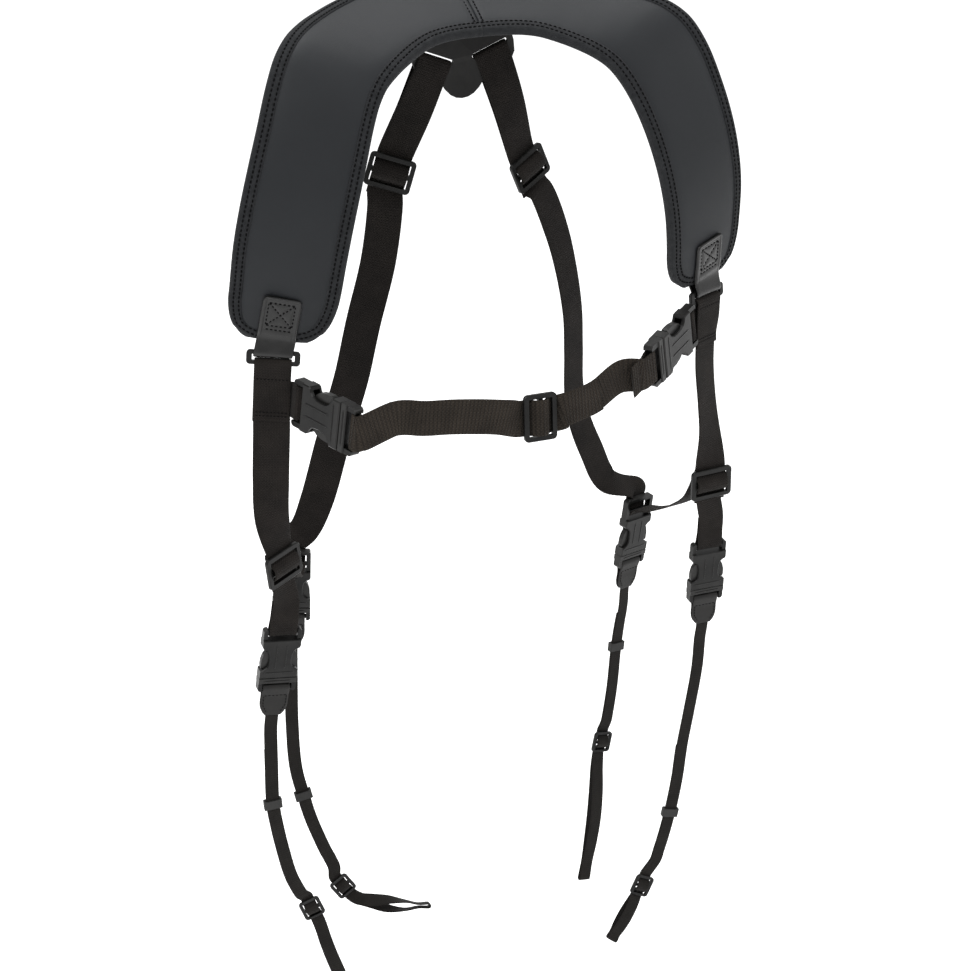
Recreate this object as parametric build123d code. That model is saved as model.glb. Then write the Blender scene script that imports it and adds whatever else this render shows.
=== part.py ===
from build123d import *
import math
import os
import numpy as np

# Field harness for carrying a pair of binoculars: a padded yoke, webbing straps,
# moulded hardware and four detachable tethers.  All lengths in millimetres.
# +X wearer's left, -Y front, +Z up.  The origin is the nape rest: the underside of
# the yoke at the middle of its back.

# ---- driving dimensions -------------------------------------------------------
NAPE = (0.0, 31.1, 342.2)        # nape rest in the drafting frame
PAD_T = 4.2                      # laminate of the yoke
LINING_T = 0.9                   # lining under it
BIND_W = 7.0                     # edge tape: width on the face and on the lining
BIND_T = 0.7
SEAM_GAP = 0.3                   # centre-back seam between the two laminate halves
WEB = 25.0                       # main webbing width
WEB_T = 1.2
WEB_LOW = 20.4                   # where it gathers to pass the small hardware
TETHER_W = 10.0
TETHER_T = 1.0
GLIDE = dict(wo=33.0, lo=24.2, t=3.0, slot=7.0, bar=3.4, wi=26.4)      # 25 mm slider
TGLIDE = dict(wo=16.4, lo=17.8, t=2.4, slot=5.8, bar=2.1, wi=11.2)     # 10 mm slider
RING_W, RING_H, RING_WALL = 13.6, 7.0, 1.2     # rubber keeper ring round a tether
BUCKLE_SMALL = 1.0               # 20 mm side-release buckle
BUCKLE_LARGE = 1.214             # 25 mm side-release buckle


def v3(*a):
    return np.array(a if len(a) > 1 else a[0], dtype=float)


def unit(a):
    a = v3(a)
    return a / np.linalg.norm(a)


def az(deg):
    """Horizontal direction facing forward, turned deg towards +X."""
    r = math.radians(deg)
    return v3(math.sin(r), -math.cos(r), 0.0)


class Hw:
    """Placement of a piece of hardware: o origin, V along the strap, U across, N outward."""

    def __init__(self, o, V, face, roll=0.0):
        self.o = v3(o)
        self.V = unit(V)
        n = v3(face)
        self.N = unit(n - self.V * (n @ self.V))
        self.U = unit(np.cross(self.N, self.V))
        if roll:
            c, s = math.cos(math.radians(roll)), math.sin(math.radians(roll))
            self.U, self.V = c * self.U + s * self.V, c * self.V - s * self.U

    def at(self, v, n=0.0, u=0.0):
        return self.o + self.V * v + self.N * n + self.U * u

    def loc(self):
        return Plane(origin=tuple(self.o), x_dir=tuple(self.U), z_dir=tuple(self.N)).location

    def put(self, shape):
        return shape.moved(self.loc())


# ---- ribbons --------------------------------------------------------------------
def catmull(P, m=6):
    """Centripetal Catmull-Rom through the rows of P, with row parameter kept."""
    P = np.array(P, float)
    Q = np.vstack([2 * P[0] - P[1], P, 2 * P[-1] - P[-2]])
    out = []
    for i in range(1, len(Q) - 2):
        p0, p1, p2, p3 = Q[i - 1], Q[i], Q[i + 1], Q[i + 2]
        t0 = 0.0
        t1 = t0 + max(np.linalg.norm((p1 - p0)[:3]), 1e-6) ** 0.5
        t2 = t1 + max(np.linalg.norm((p2 - p1)[:3]), 1e-6) ** 0.5
        t3 = t2 + max(np.linalg.norm((p3 - p2)[:3]), 1e-6) ** 0.5
        for k in range(m):
            t = t1 + (t2 - t1) * k / m
            A1 = (t1 - t) / (t1 - t0) * p0 + (t - t0) / (t1 - t0) * p1
            A2 = (t2 - t) / (t2 - t1) * p1 + (t - t1) / (t2 - t1) * p2
            A3 = (t3 - t) / (t3 - t2) * p2 + (t - t2) / (t3 - t2) * p3
            B1 = (t2 - t) / (t2 - t0) * A1 + (t - t0) / (t2 - t0) * A2
            B2 = (t3 - t) / (t3 - t1) * A2 + (t - t1) / (t3 - t1) * A3
            out.append((t2 - t) / (t2 - t1) * B1 + (t - t1) / (t2 - t1) * B2)
    out.append(P[-1])
    return np.array(out)


def stations(keys, turn=14.0, far=14.0):
    """keys: (point, U, width).  Returns thinned (P, U, N, w) along a smooth path."""
    rows = np.array([list(p) + list(u) + [w] for p, u, w in keys], float)
    R = catmull(rows)
    P, U, W = R[:, :3], R[:, 3:6], R[:, 6]
    T = np.gradient(P, axis=0)
    d = np.linalg.norm(np.diff(P, axis=0), axis=1)
    for i in range(1, len(P) - 1):
        a, b = P[i] - P[i - 1], P[i + 1] - P[i]
        T[i] = unit(a) + unit(b)
    T = np.array([unit(t) for t in T])
    U = np.array([unit(u - t * (u @ t)) for u, t in zip(U, T)])
    keep = [0]
    for i in range(1, len(P) - 1):
        k = keep[-1]
        bend = math.degrees(math.acos(max(-1, min(1, T[i] @ T[k]))))
        twist = math.degrees(math.acos(max(-1, min(1, U[i] @ U[k]))))
        if d[k:i].sum() < 0.15:
            continue
        if bend > turn or twist > turn or d[k:i].sum() > far:
            keep.append(i)
    keep.append(len(P) - 1)
    return [(P[i], U[i], unit(np.cross(T[i], U[i])), W[i]) for i in keep]


def ruled(sections):
    """Solid through closed polygons with equal numbers of corners."""
    wires = [Wire.make_polygon([tuple(q) for q in s], close=True) for s in sections]
    s = Solid.make_loft(wires, True)
    return s


def ribbon(keys, t, turn=14.0, far=14.0):
    secs = []
    for P, U, N, w in stations(keys, turn, far):
        a, b = U * w / 2, N * t / 2
        secs.append([P - a - b, P + a - b, P + a + b, P - a + b])
    return ruled(secs)


def scurve(hw, g, o, w, half=1.25, gap=0.15, up=True, ext=1.5):
    """Keys for one layer woven through a slider: behind, over the middle bar, behind.
    o is the layer's offset across the weave; ends lie ext beyond the slider."""
    B = g["t"] / 2 + gap + half
    s0 = g["bar"] / 2
    s1 = s0 + g["slot"]
    vs = [-(g["lo"] / 2 + ext), -(s1 + 1.2)]
    vs += [-(s1 - g["slot"] * k / 6.0) for k in range(0, 7)]
    vs += [-x for x in reversed(vs)]

    def c(v):
        v = abs(v)
        if v >= s1:
            return -B
        if v <= s0:
            return B
        x = (s1 - v) / g["slot"]
        return -B * math.cos(math.pi * x)

    keys = []
    for v in vs:
        e = 0.01
        sl = (c(v + e) - c(v - e)) / (2 * e)
        L = math.hypot(1, sl)
        keys.append((hw.at(v - sl / L * o, c(v) + o / L), hw.U, w))
    return keys


def barloop(hw, vb, rb, t, w, front=(), back=(), gap=0.12, steps=7):
    """Keys round a bar at v = vb: down the front, round, up the back."""
    rc = rb + gap + t / 2
    keys = [(hw.at(v, n), hw.U, w) for v, n in front]
    for k in range(steps):
        th = math.pi * k / (steps - 1)
        keys.append((hw.at(vb + rc * math.sin(th), rc * math.cos(th)), hw.U, w))
    keys += [(hw.at(v, n), hw.U, w) for v, n in back]
    return keys


# ---- moulded hardware, in local axes: x across, y up the strap (= -v), z outward ----
def rbox(x0, x1, y0, y1, z0, z1):
    return Pos((x0 + x1) / 2, (y0 + y1) / 2, (z0 + z1) / 2) * Box(x1 - x0, y1 - y0, z1 - z0)


def one(shape):
    s = shape.solids()
    assert len(s) == 1, len(s)
    return s[0]


def xcyl(r, x0, x1, y, z=0.0):
    return Pos((x0 + x1) / 2, y, z) * Rot(0, 90, 0) * Cylinder(r, x1 - x0)


def slider(g):
    b = Box(g["wo"], g["lo"], g["t"])
    b = fillet(b.edges().filter_by(Axis.Z), min(3.2, g["lo"] * 0.16))
    b = chamfer(b.faces().sort_by(Axis.Z)[-1].edges() + b.faces().sort_by(Axis.Z)[0].edges(), 0.45)
    yc = g["bar"] / 2 + g["slot"] / 2
    for s in (-1, 1):
        b -= Pos(0, s * yc, 0) * Box(g["wi"], g["slot"], g["t"] + 2)
    return one(b)


def ring_frame(wo=36.0, lo=10.0, t=3.0):
    """Rectangular shoulder ring with a long slot between two bars."""
    b = Box(wo, lo, t)
    b = fillet(b.edges().filter_by(Axis.Z), 2.6)
    b = chamfer(b.faces().sort_by(Axis.Z)[-1].edges() + b.faces().sort_by(Axis.Z)[0].edges(), 0.5)
    b -= Box(wo - 7.6, lo - 5.4, t + 2)
    return one(b)


def female(k, ladder=False):
    """Receiving half: web bar, hollow body with open sides, mouth at the bottom."""
    pts = [(-14, -3.4), (-14, -8.6), (-13.2, -10.0), (-11.2, -10.8), (-9.4, -12.4), (-8.5, -15),
           (-8.1, -19), (-8.4, -22.5), (-9.6, -25), (-11.8, -26.6), (-14, -28), (-14, -34)]
    pts = pts + [(-x, y) for x, y in reversed(pts)]
    body = extrude(Polygon(*pts, align=None), 4.2, both=True)
    body = one(body)
    body = chamfer(body.faces().sort_by(Axis.Z)[-1].edges() + body.faces().sort_by(Axis.Z)[0].edges(), 0.6)
    top = 5.0 + (8.4 if ladder else 0.0)
    arms = rbox(-14, 14, -3.6, top, -2.6, 2.6)
    arms = fillet(arms.edges().filter_by(Axis.Z).sort_by(Axis.Y)[-2:], 2.2)
    arms -= rbox(-10.9, 10.9, -3.5, top - (3.0 if ladder else 0) - (0 if ladder else -1), -4, 4)
    s = body + arms
    s -= rbox(-10.9, 10.9, -3.5, 2.0, -6, 6)
    s += xcyl(1.7, -11.2, 11.2, 2.2)
    s -= rbox(-12.2, 12.2, -34.5, -8.0, -2.3, 2.3)
    s = one(s)
    return s.scale(k) if k != 1.0 else s


def male(k):
    s = rbox(-14, 14, -39.0, -34.3, -3.7, 3.7)
    s = chamfer(s.edges().filter_by(Axis.X), 0.6)
    arms = rbox(-14, 14, -45.6, -38.8, -3.0, 3.0)
    arms = fillet(arms.edges().filter_by(Axis.Z).sort_by(Axis.Y)[:2], 2.2)
    arms -= rbox(-10.9, 10.9, -46.6, -39.0, -6, 6)
    s = s + arms + xcyl(1.7, -11.2, 11.2, -43.4)
    s += rbox(-1.2, 1.2, -34.5, -14.0, -1.8, 1.8)
    s = one(s)
    return s.scale(k) if k != 1.0 else s


def prong(k, side):
    pts = [(7.6, -34.0), (10.2, -34.0), (10.2, -26.3), (13.4, -26.3), (13.7, -24.4), (13.5, -20),
           (12.4, -15.6), (10.6, -12.9), (9.0, -12.0), (7.9, -12.6), (7.6, -14.0)]
    p = extrude(Polygon(*[(side * x, y) for x, y in pts], align=None), 1.95, both=True)
    p = one(p)
    return p.scale(k) if k != 1.0 else p


OUT = {}


def add(name, *solids):
    OUT[name] = list(solids)


# ---- yoke -----------------------------------------------------------------------
INNER = [(-120.2, -50.9, 176.8), (-116.2, -55.5, 201.7), (-110.9, -57.2, 226.0), (-104.6, -56.2, 248.9),
         (-98.0, -52.6, 269.3), (-91.3, -46.7, 286.6), (-84.4, -40.4, 300.3), (-77.1, -35.3, 310.5),
         (-68.3, -30.2, 317.8), (-57.5, -23.4, 323.8), (-46.8, -16.7, 328.3), (-37.7, -12.3, 331.3),
         (-28.3, -9.2, 332.8), (-14.9, -6.2, 333.3), (0.0, -4.9, 333.2)]
OUTER = [(-187.4, -22.7, 185.0), (-184.5, -29.1, 214.7), (-179.2, -32.7, 241.9), (-172.3, -33.5, 267.4),
         (-164.2, -31.2, 292.0), (-155.4, -25.6, 315.6), (-145.7, -16.6, 333.1), (-134.7, -4.2, 342.4),
         (-122.0, 10.4, 346.6), (-106.8, 25.7, 349.2), (-89.5, 39.8, 352.0), (-68.9, 51.5, 355.5),
         (-46.6, 58.9, 359.0), (-22.8, 62.2, 361.8), (0.0, 62.8, 362.7)]


def yoke_rows():
    """Rows (inner edge, outer edge, up-normal) of the left half, lobe tip first."""
    I, O = np.array(INNER), np.array(OUTER)
    # rounded lobe tip: continue down with a shrinking width
    down = unit((I[0] - I[1]) * 0.5 + (O[0] - O[1]) * 0.5)
    down = unit(down + v3(0, 0.10, 0))
    mid = (I[0] + O[0]) / 2
    half = (O[0] - I[0]) / 2
    cap = []
    for s, q in ((39.5, 0.34), (38.5, 0.52), (35.5, 0.68), (31.0, 0.80), (24.5, 0.895), (17.0, 0.955), (8.5, 0.99)):
        c = mid + down * s
        cap.append((c - half * q, c + half * q))
    rows = cap + list(zip(I, O))
    C = np.array([(a + b) / 2 for a, b in rows])
    T = np.gradient(C, axis=0)
    out = []
    for k, (a, b) in enumerate(rows):
        t = unit(T[k]) if k < len(rows) - 1 else v3(1, 0, 0)
        out.append((a, b, unit(np.cross(t, unit(b - a)))))
    a, b, n = out[-1]
    n = unit(v3(0, n[1], n[2]))
    out[-1] = (a, b, n)
    return out


def mirror_x(p):
    return v3(-p[0], p[1], p[2])


def section(a, b, n, lo, hi, crown, inset=0.0, cols=5):
    """Closed polygon across the yoke between heights lo and hi (lo < hi <= 0)."""
    w = np.linalg.norm(b - a)
    u = (b - a) / w
    e = min(BIND_W, w * 0.3)
    xs = [inset, e, w / 2 - (w / 2 - e) * 0.5, w / 2, w / 2 + (w / 2 - e) * 0.5, w - e, w - inset]

    def z(x):
        r = (x - w / 2) / (w / 2)
        return crown * (1 - r * r)

    top = [a + u * x + n * (hi + z(x)) for x in xs]
    bot = [a + u * x + n * (lo + z(x)) for x in reversed(xs)]
    return top + bot


def yoke():
    rows = yoke_rows()
    last = len(rows) - 1

    def half(fn, side, trim):
        secs = []
        for k, (a, b, n) in enumerate(rows):
            if k == last and trim:
                a, b = a - v3(trim, 0, 0), b - v3(trim, 0, 0)
            s = fn(a, b, n)
            if side > 0:
                s = [mirror_x(p) for p in s]
            secs.append(s)
        return secs

    crown = 1.6
    t0, t1, t2 = -BIND_T, -BIND_T - PAD_T, -BIND_T - PAD_T - LINING_T
    face = lambda a, b, n: section(a, b, n, t1, t0, crown, inset=BIND_T)
    lin = lambda a, b, n: section(a, b, n, t2, t1, crown, inset=BIND_T)
    add("yoke_pad", ruled(half(face, -1, SEAM_GAP / 2)), ruled(half(face, 1, SEAM_GAP / 2)))
    l = half(lin, -1, 0) + list(reversed(half(lin, 1, 0)))[1:]
    add("yoke_lining", ruled(l))

    def bind(inner):
        def fn(a, b, n):
            w = np.linalg.norm(b - a)
            u = (b - a) / w
            if not inner:
                a, u = b, -u
            e = min(BIND_W, w * 0.3)

            def z(x):
                r = (x - w / 2) / (w / 2)
                return crown * (1 - r * r)

            hi, lo = 0.0, t2 - BIND_T
            P = lambda x, h: a + u * x + n * h
            return [P(0, hi + z(0)), P(e, hi + z(e)), P(e, t0 + z(e)), P(BIND_T, t0 + z(BIND_T)),
                    P(BIND_T, t2 + z(BIND_T)), P(e, t2 + z(e)), P(e, lo + z(e)), P(0, lo + z(0))]
        h = half(fn, -1, 0)
        return h + list(reversed(half(fn, 1, 0)))[1:]

    add("edge_binding", ruled(bind(True)), ruled(bind(False)))
    return rows


# ---- placements -----------------------------------------------------------------
HW = {}
for tag, s in (("right", -1), ("left", 1)):     # wearer's right is -X
    L = s < 0
    HW["frame_" + tag] = Hw((-161.3, -27.5, 134.2) if L else (159.6, -27.5, 134.2), (-0.12, -0.06, -1) if L else (0.05, -0.06, -1), az(-18 if L else 24))
    HW["fglide_" + tag] = Hw((-164.6, -36.0, -16.9) if L else (165.0, -36.0, -12.4),
                             (0.10, 0.03, -1) if L else (0.03, 0.04, -1), az(31 if L else 2))
    HW["fbuck_" + tag] = Hw((-166.4, -26.0, -75.5) if L else (169.8, -26.0, -71.2),
                            (-10.0, 4.0, -66.0) if L else (-0.6, 4.0, -68.7), az(0))
    HW["rglide_" + tag] = Hw((-52.3, 43.0, 229.2) if L else (52.4, 43.0, 220.6),
                             (-0.30, 0.08, -1) if L else (0.42, 0.08, -1), az(-21 if L else 24))
    HW["slot_" + tag] = Hw((-21.0, 35.0, 306.6) if L else (19.8, 35.0, 309.6),
                           (-0.38, 0.11, -0.92) if L else (0.38, 0.11, -0.92), (0, -0.993, -0.12))
    HW["rbuck_" + tag] = Hw((-139.7, 38.0, -57.1) if L else (138.6, 36.0, -63.5),
                            (-2.7, 6.0, -75.0) if L else (-7.5, 4.0, -69.2), az(-15 if L else 21))


def blendkeys(*parts):
    out = []
    for p in parts:
        out += p
    return out


def free(points, u0, u1, w0=WEB, w1=WEB):
    """Free span: points with U and width blended from one end to the other."""
    n = len(points)
    out = []
    for i, p in enumerate(points):
        f = (i + 1) / (n + 1)
        out.append((v3(p), (1 - f) * v3(u0) + f * v3(u1), (1 - f) * w0 + f * w1))
    return out


def build():
    rows = yoke()

    # ---- leather tabs: sewn on the lobe face, folded through the shoulder ring
    for tag, s in (("right", -1), ("left", 1)):
        fr = HW["frame_" + tag]
        a, b, n = rows[7]
        m = (a + b) / 2
        down = unit((rows[0][0] + rows[0][1]) / 2 - m)
        if s > 0:
            m, n, down = mirror_x(m), mirror_x(n), mirror_x(down)
        u = fr.U
        w = 26.0
        ht = 0.9 + 1.6      # above the crowned face
        bar = fr.at(-3.65, 0)
        P = lambda d, h: m + down * d + n * h
        keys = [(P(3, ht), u, w * 0.86), (P(5, ht), u, w), (P(20, ht), u, w), (P(34, ht), u, w)]
        # round the upper bar of the ring and back up under the lobe
        rc = 2.05 + 0.8 + 0.05
        gu = unit(bar - keys[-1][0])
        side = unit(n - gu * (n @ gu))
        lo = -(BIND_T * 2 + PAD_T + LINING_T) - 0.85 + 1.3
        for k in range(7):
            th = math.pi * k / 6
            keys.append((bar + side * rc * math.cos(th) + gu * rc * math.sin(th), u, w))
        keys += [(P(34, lo), u, w), (P(20, lo), u, w), (P(8, lo), u, w)]
        add("leather_tab_" + tag, ribbon(keys, 1.6, turn=12))
        add("shoulder_ring_" + tag, fr.put(ring_frame()))

    # ---- front straps: sewn loop on the ring, down to the slider, short tail
    FRONT = {"right": [(-164.6, -29.0, 104.8), (-166.6, -31.0, 80.4), (-169.4, -33.0, 48.3), (-170.8, -35.0, 22.0)],
             "left": [(159.9, -29.0, 103.4), (158.6, -31.0, 81.1), (160.4, -33.0, 54.0), (162.3, -35.0, 30.6)]}
    FAZ = {"right": (-18, -14, -8, 4), "left": (30, 32, 33, 27)}
    for tag in ("right", "left"):
        fr, gl = HW["frame_" + tag], HW["fglide_" + tag]
        pts = FRONT[tag]
        U = [unit(np.cross(az(a), v3(0, 0, -1))) for a in FAZ[tag]]
        down = unit(v3(pts[0]) - fr.at(6, 0))
        nn = fr.N
        front_leg = [(v3(pts[0]) + down * (15 if tag == "right" else 7) + nn * 0.72, U[0], WEB), (v3(pts[0]) + nn * 0.72, U[0], WEB),
                     (fr.at(18, 0.9), fr.U, WEB), (fr.at(9.5, 2.0), fr.U, WEB)]
        vb = 3.65
        rc = 2.05 + 0.05 + WEB_T / 2
        loop = [(fr.at(vb - rc * math.sin(math.pi * k / 6), rc * math.cos(math.pi * k / 6)), fr.U, WEB) for k in range(7)]
        back_leg = [(fr.at(9.5, -2.0), fr.U, WEB), (fr.at(18, -0.9), fr.U, WEB), (v3(pts[0]) - nn * 0.62, U[0], WEB)]
        mid = [(v3(p), u, WEB) for p, u in list(zip(pts, U))[1:]]
        sc = scurve(gl, GLIDE, 0.65, WEB)
        tail = [(gl.at(GLIDE["lo"] / 2 + 3.2, -(1.5 + 0.15 + 0.6)), gl.U, WEB)]
        add("front_strap_" + tag, ribbon(front_leg + loop + back_leg + mid + sc[:-1] + tail, WEB_T))
        add("front_slider_" + tag, gl.put(slider(GLIDE)))

    # ---- rear straps: plate slot, rear slider, back, rear buckle, underarm arc,
    #      front slider, front buckle
    REAR = {"right": [(-56.3, 44.0, 206.4), (-61.9, 46.0, 166.3), (-74.8, 47.0, 119.8), (-84.8, 46.0, 82.6),
                      (-90.9, 46.0, 64.1), (-102.4, 45.0, 31.4), (-116.6, 43.0, -10.1), (-127.0, 42.0, -30.5)],
            "left": [(61.3, 44.0, 202.4), (74.3, 46.0, 171.0), (82.4, 47.0, 140.6), (87.9, 47.0, 105.6),
                     (88.5, 46.0, 75.7), (88.7, 45.0, 43.7), (93.0, 44.0, 19.2), (101.9, 42.0, -6.0), (115.0, 41.0, -33.4)]}
    RAZ = {"right": [-21, -21, -20, -19, -18, -18, -17, -16], "left": [26, 28, 31, 33, 33, 32, 28, 24, 21]}
    ARC = {"right": [(-146.5, 21.0, -56.0), (-151.5, 6.0, -48.5), (-156.5, -9.0, -38.0), (-161.0, -22.0, -26.0)],
           "left": [(145.3, 21.0, -55.6), (150.5, 6.0, -47.8), (154.6, -9.0, -38.0), (159.5, -21.5, -26.0)]}
    for tag in ("right", "left"):
        rg, st, rb, fg, fb = (HW[k + "_" + tag] for k in ("rglide", "slot", "rbuck", "fglide", "fbuck"))
        # upper end: short tail behind the slider, up the back of the plate, through the slot
        scb = scurve(rg, GLIDE, -0.65, WEB)
        scf = scurve(rg, GLIDE, 0.65, WEB)
        tailv = GLIDE["lo"] / 2 + 6.0
        keys = [(rg.at(tailv, -(1.5 + 0.15 + 0.6 + 1.3) - 0.3), rg.U, WEB)] + list(reversed(scb))[1:]
        gapv = st.o + (rg.o - st.o) * 0.45
        ug = st.U * 0.5 + rg.U * 0.5
        ng = unit(rg.N * 0.5 + st.N * 0.5)
        keys += [(gapv - ng * 1.6, ug, WEB), (st.at(10, -2.5), st.U, WEB), (st.at(3, -2.4), st.U, WEB)]
        rc = 1.5 + 0.15 + 0.6
        keys += [(st.at(-rc * math.sin(th), -rc * math.cos(th)), st.U, WEB) for th in [math.pi * k / 6 for k in range(7)]]
        keys += [(st.at(3, 2.4), st.U, WEB), (st.at(10, 2.5), st.U, WEB), (gapv + ng * 1.6, ug, WEB)]
        keys += scf
        pts = REAR[tag]
        for p, a in zip(pts, RAZ[tag]):
            w = WEB if p[2] > 10 else WEB * 0.9 + WEB_LOW * 0.1 if p[2] > -20 else 22.6
            keys.append((v3(p), unit(np.cross(az(a), v3(0, 0, -1))), w))
        # round the rear buckle's web bar: down the back, under, up the front
        rcb = 1.7 + 0.12 + 0.6
        keys += [(rb.at(-18, -4.2), rb.U, 21.0), (rb.at(-12, -4.0), rb.U, WEB_LOW), (rb.at(-7.0, -3.2), rb.U, WEB_LOW)]
        keys += [(rb.at(-2.2 + rcb * math.sin(th), -rcb * math.cos(th)), rb.U, WEB_LOW) for th in [math.pi * k / 6 for k in range(1, 7)]]
        keys += [(rb.at(-5.2, 4.6), rb.U, WEB_LOW)]
        ar = ARC[tag]
        for i, p in enumerate(ar):
            f = (i + 1) / (len(ar) + 1)
            keys.append((v3(p), (1 - f) * rb.U + f * fg.U, WEB_LOW))
        sc = scurve(fg, GLIDE, -0.65, WEB_LOW)
        # a rounded hairpin behind the slider, so the tape comes up, turns over and goes down
        keys += [(fg.at(-10.4 - 1.55 * math.sin(th), -5.15 - 1.55 * math.cos(th)), fg.U, WEB_LOW)
                 for th in [math.pi * k / 6 for k in range(7)]]
        keys += sc[2:]
        keys += [(fb.at(-26, 1.2), fb.U * 0.6 + fg.U * 0.4, WEB_LOW), (fb.at(-15, 1.7), fb.U, WEB_LOW), (fb.at(-7, 2.3), fb.U, WEB_LOW)]
        rcf = rcb
        keys += [(fb.at(-2.2 + rcf * math.sin(th), rcf * math.cos(th)), fb.U, WEB_LOW) for th in [math.pi * k / 6 for k in range(0, 7)]]
        keys += [(fb.at(-7, -1.6), fb.U, WEB_LOW), (fb.at(-15, -0.4), fb.U, WEB_LOW), (fb.at(-27, -0.5), fb.U, WEB_LOW)]
        add("rear_strap_" + tag, ribbon(keys, WEB_T))
        add("rear_slider_" + tag, rg.put(slider(GLIDE)))

    # ---- moulded back plate under the yoke, two slots for the rear straps
    pl = Hw((0.0, 35.0, 308.0), (0, 0.12, -0.993), (0, -0.993, -0.12))
    out = [(-31, 33.6), (-33, 18), (-36.5, 8), (-37.5, 0), (-35, -7), (-28, -10), (-20, -13.5), (-15.5, -18.5), (-12.5, -23.5), (-8.5, -27.6), (-4.4, -29.8), (0, -30.5)]
    out = out + [(-x, y) for x, y in reversed(out[:-1])]
    p = one(extrude(Polygon(*out, align=None), 1.5, both=True))
    p = chamfer(p.faces().sort_by(Axis.Z)[-1].edges() + p.faces().sort_by(Axis.Z)[0].edges(), 0.5)
    p = pl.put(p)
    for tag in ("right", "left"):
        st = HW["slot_" + tag]
        c = one(fillet((Pos(0, 2.05, 0) * Box(27.4, 4.1, 9)).edges().filter_by(Axis.Z), 1.9))
        p = p - st.put(c)
    # sewn flange flat under the yoke
    a, b, n = rows[-1]
    ub = unit(b - a)
    tb = -(BIND_T * 2 + PAD_T + LINING_T) - 0.1 + 1.0
    fo = a + ub * 43 + n * (tb - 1.1)
    fl = Hw(fo, ub, n)
    flange = one(fillet(Box(52, 22, 2.0).edges().filter_by(Axis.Z), 3.0))
    p = one(p) + fl.put(flange)
    add("back_plate", one(p))

    # ---- sternum strap: anchors, buckles, strap, slider
    SB = {"right": Hw((-148.3, -40.2, 104.9), (22.2, -50.6, -4.6), (-0.9, -0.42, 0.10)),
          "left": Hw((142.0, -39.2, 117.0), (-44.7, -30.2, -12.7), (0.60, -0.80, 0.0))}
    for tag in ("right", "left"):
        h = SB[tag]
        h.o = h.o + h.V * 2.2 * BUCKLE_LARGE
        HW["sbuck_" + tag] = h
    for tag, s in (("right", -1), ("left", 1)):
        h = HW["sbuck_" + tag]
        k = BUCKLE_LARGE
        add("sternum_female_" + tag, h.put(female(k)))
        add("sternum_male_" + tag, h.put(male(k)))
        add("sternum_prong_%s_a" % tag, h.put(prong(k, -1)))
        add("sternum_prong_%s_b" % tag, h.put(prong(k, 1)))
        # anchor: webbing loop round the web bar, its legs sewn to the back of the front strap
        fr = HW["frame_" + tag]
        vb, rb = -2.2 * k, 1.7 * k
        rc = rb + 0.12 + 0.6
        m = v3(FRONT[tag][0])
        inw = -s * fr.U
        base = m + v3(0, 0, h.o[2] - m[2])
        back = -fr.N
        WA = 24.0
        q = 6.0 if s > 0 else 5.6
        uu = h.U if h.U[2] > 0 else -h.U
        zz = v3(0, 0, 1)
        legs_a = [(base + inw * -9 + back * q, zz, WA), (base + inw * 2 + back * q, zz, WA), (base + inw * 11.0 + back * (q - 0.2), uu, WA)]
        legs_b = [(base + inw * 12.0 + back * (q + 1.2), uu, WA), (base + inw * 2 + back * (q + 1.4), zz, WA), (base + inw * -9 + back * (q + 1.4), zz, WA)]
        # the loop wraps the side of the bar that faces away from its legs
        ctr = h.at(vb)
        e = (legs_a[-1][0] + legs_b[0][0]) / 2 - ctr
        e = unit(e - h.U * (e @ h.U))
        p = unit(h.N - e * (h.N @ e))
        loop = [(ctr + rc * (math.cos(th) * p - math.sin(th) * e), uu, WA) for th in [math.pi * j / 6 for j in range(7)]]
        add("sternum_anchor_" + tag, ribbon(legs_a + loop + legs_b, WEB_T))

    hr, hl = HW["sbuck_right"], HW["sbuck_left"]
    k = BUCKLE_LARGE
    vb = 43.4 * k
    rc = 1.7 * k + 0.12 + 0.6
    STERN = [(-98.2, -95.0, 106.6), (-80.1, -98.0, 104.6), (-61.5, -99.0, 103.0), (-42.0, -99.0, 100.0), (-23.5, -97.5, 95.8)]
    SL = Hw((3.4, -94.0, 90.3), (1, 0.05, -0.03), (-0.03, -1, 0.12))
    HW["sslider"] = SL
    STERN2 = [(22.0, -91.5, 91.6), (45.7, -86.0, 94.5), (69.5, -79.0, 103.5), (84.0, -73.6, 109.0)]
    zup = v3(0, 0, 1)

    def near(u, ref):
        return u if u @ ref > 0 else -u
    ur, ul = near(hr.U, zup), near(hl.U, zup)
    keys = []
    # short sewn return on the right male's bar, then along the chest to the slider
    nr = 1.0
    keys += [(v3(STERN[0]) + v3(0.2, 1.35, 0), zup, WEB), (hr.at(vb + 4.5, -rc + 0.5), ur, WEB)]
    keys += [(hr.at(vb - rc * math.sin(th), -rc * math.cos(th)), ur, WEB) for th in [math.pi * j / 6 for j in range(7)]]
    keys += [(hr.at(vb + 4.5, rc - 0.3), ur, WEB)]
    keys += [(v3(p), zup, WEB) for p in STERN]
    us = near(SL.U, zup)
    sc = [(p, us, w) for p, u, w in scurve(SL, GLIDE, 0.65, WEB)]
    keys += sc
    e = [v3(p) for p in STERN2]
    keys += [(e[0] + v3(0.0, -1.0, 0), zup, WEB), (e[1] + v3(-0.6, -0.9, 0), zup, WEB), (e[1] + v3(6, 1.0, 1.6) + v3(0, 0, 0), zup, WEB)]
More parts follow.
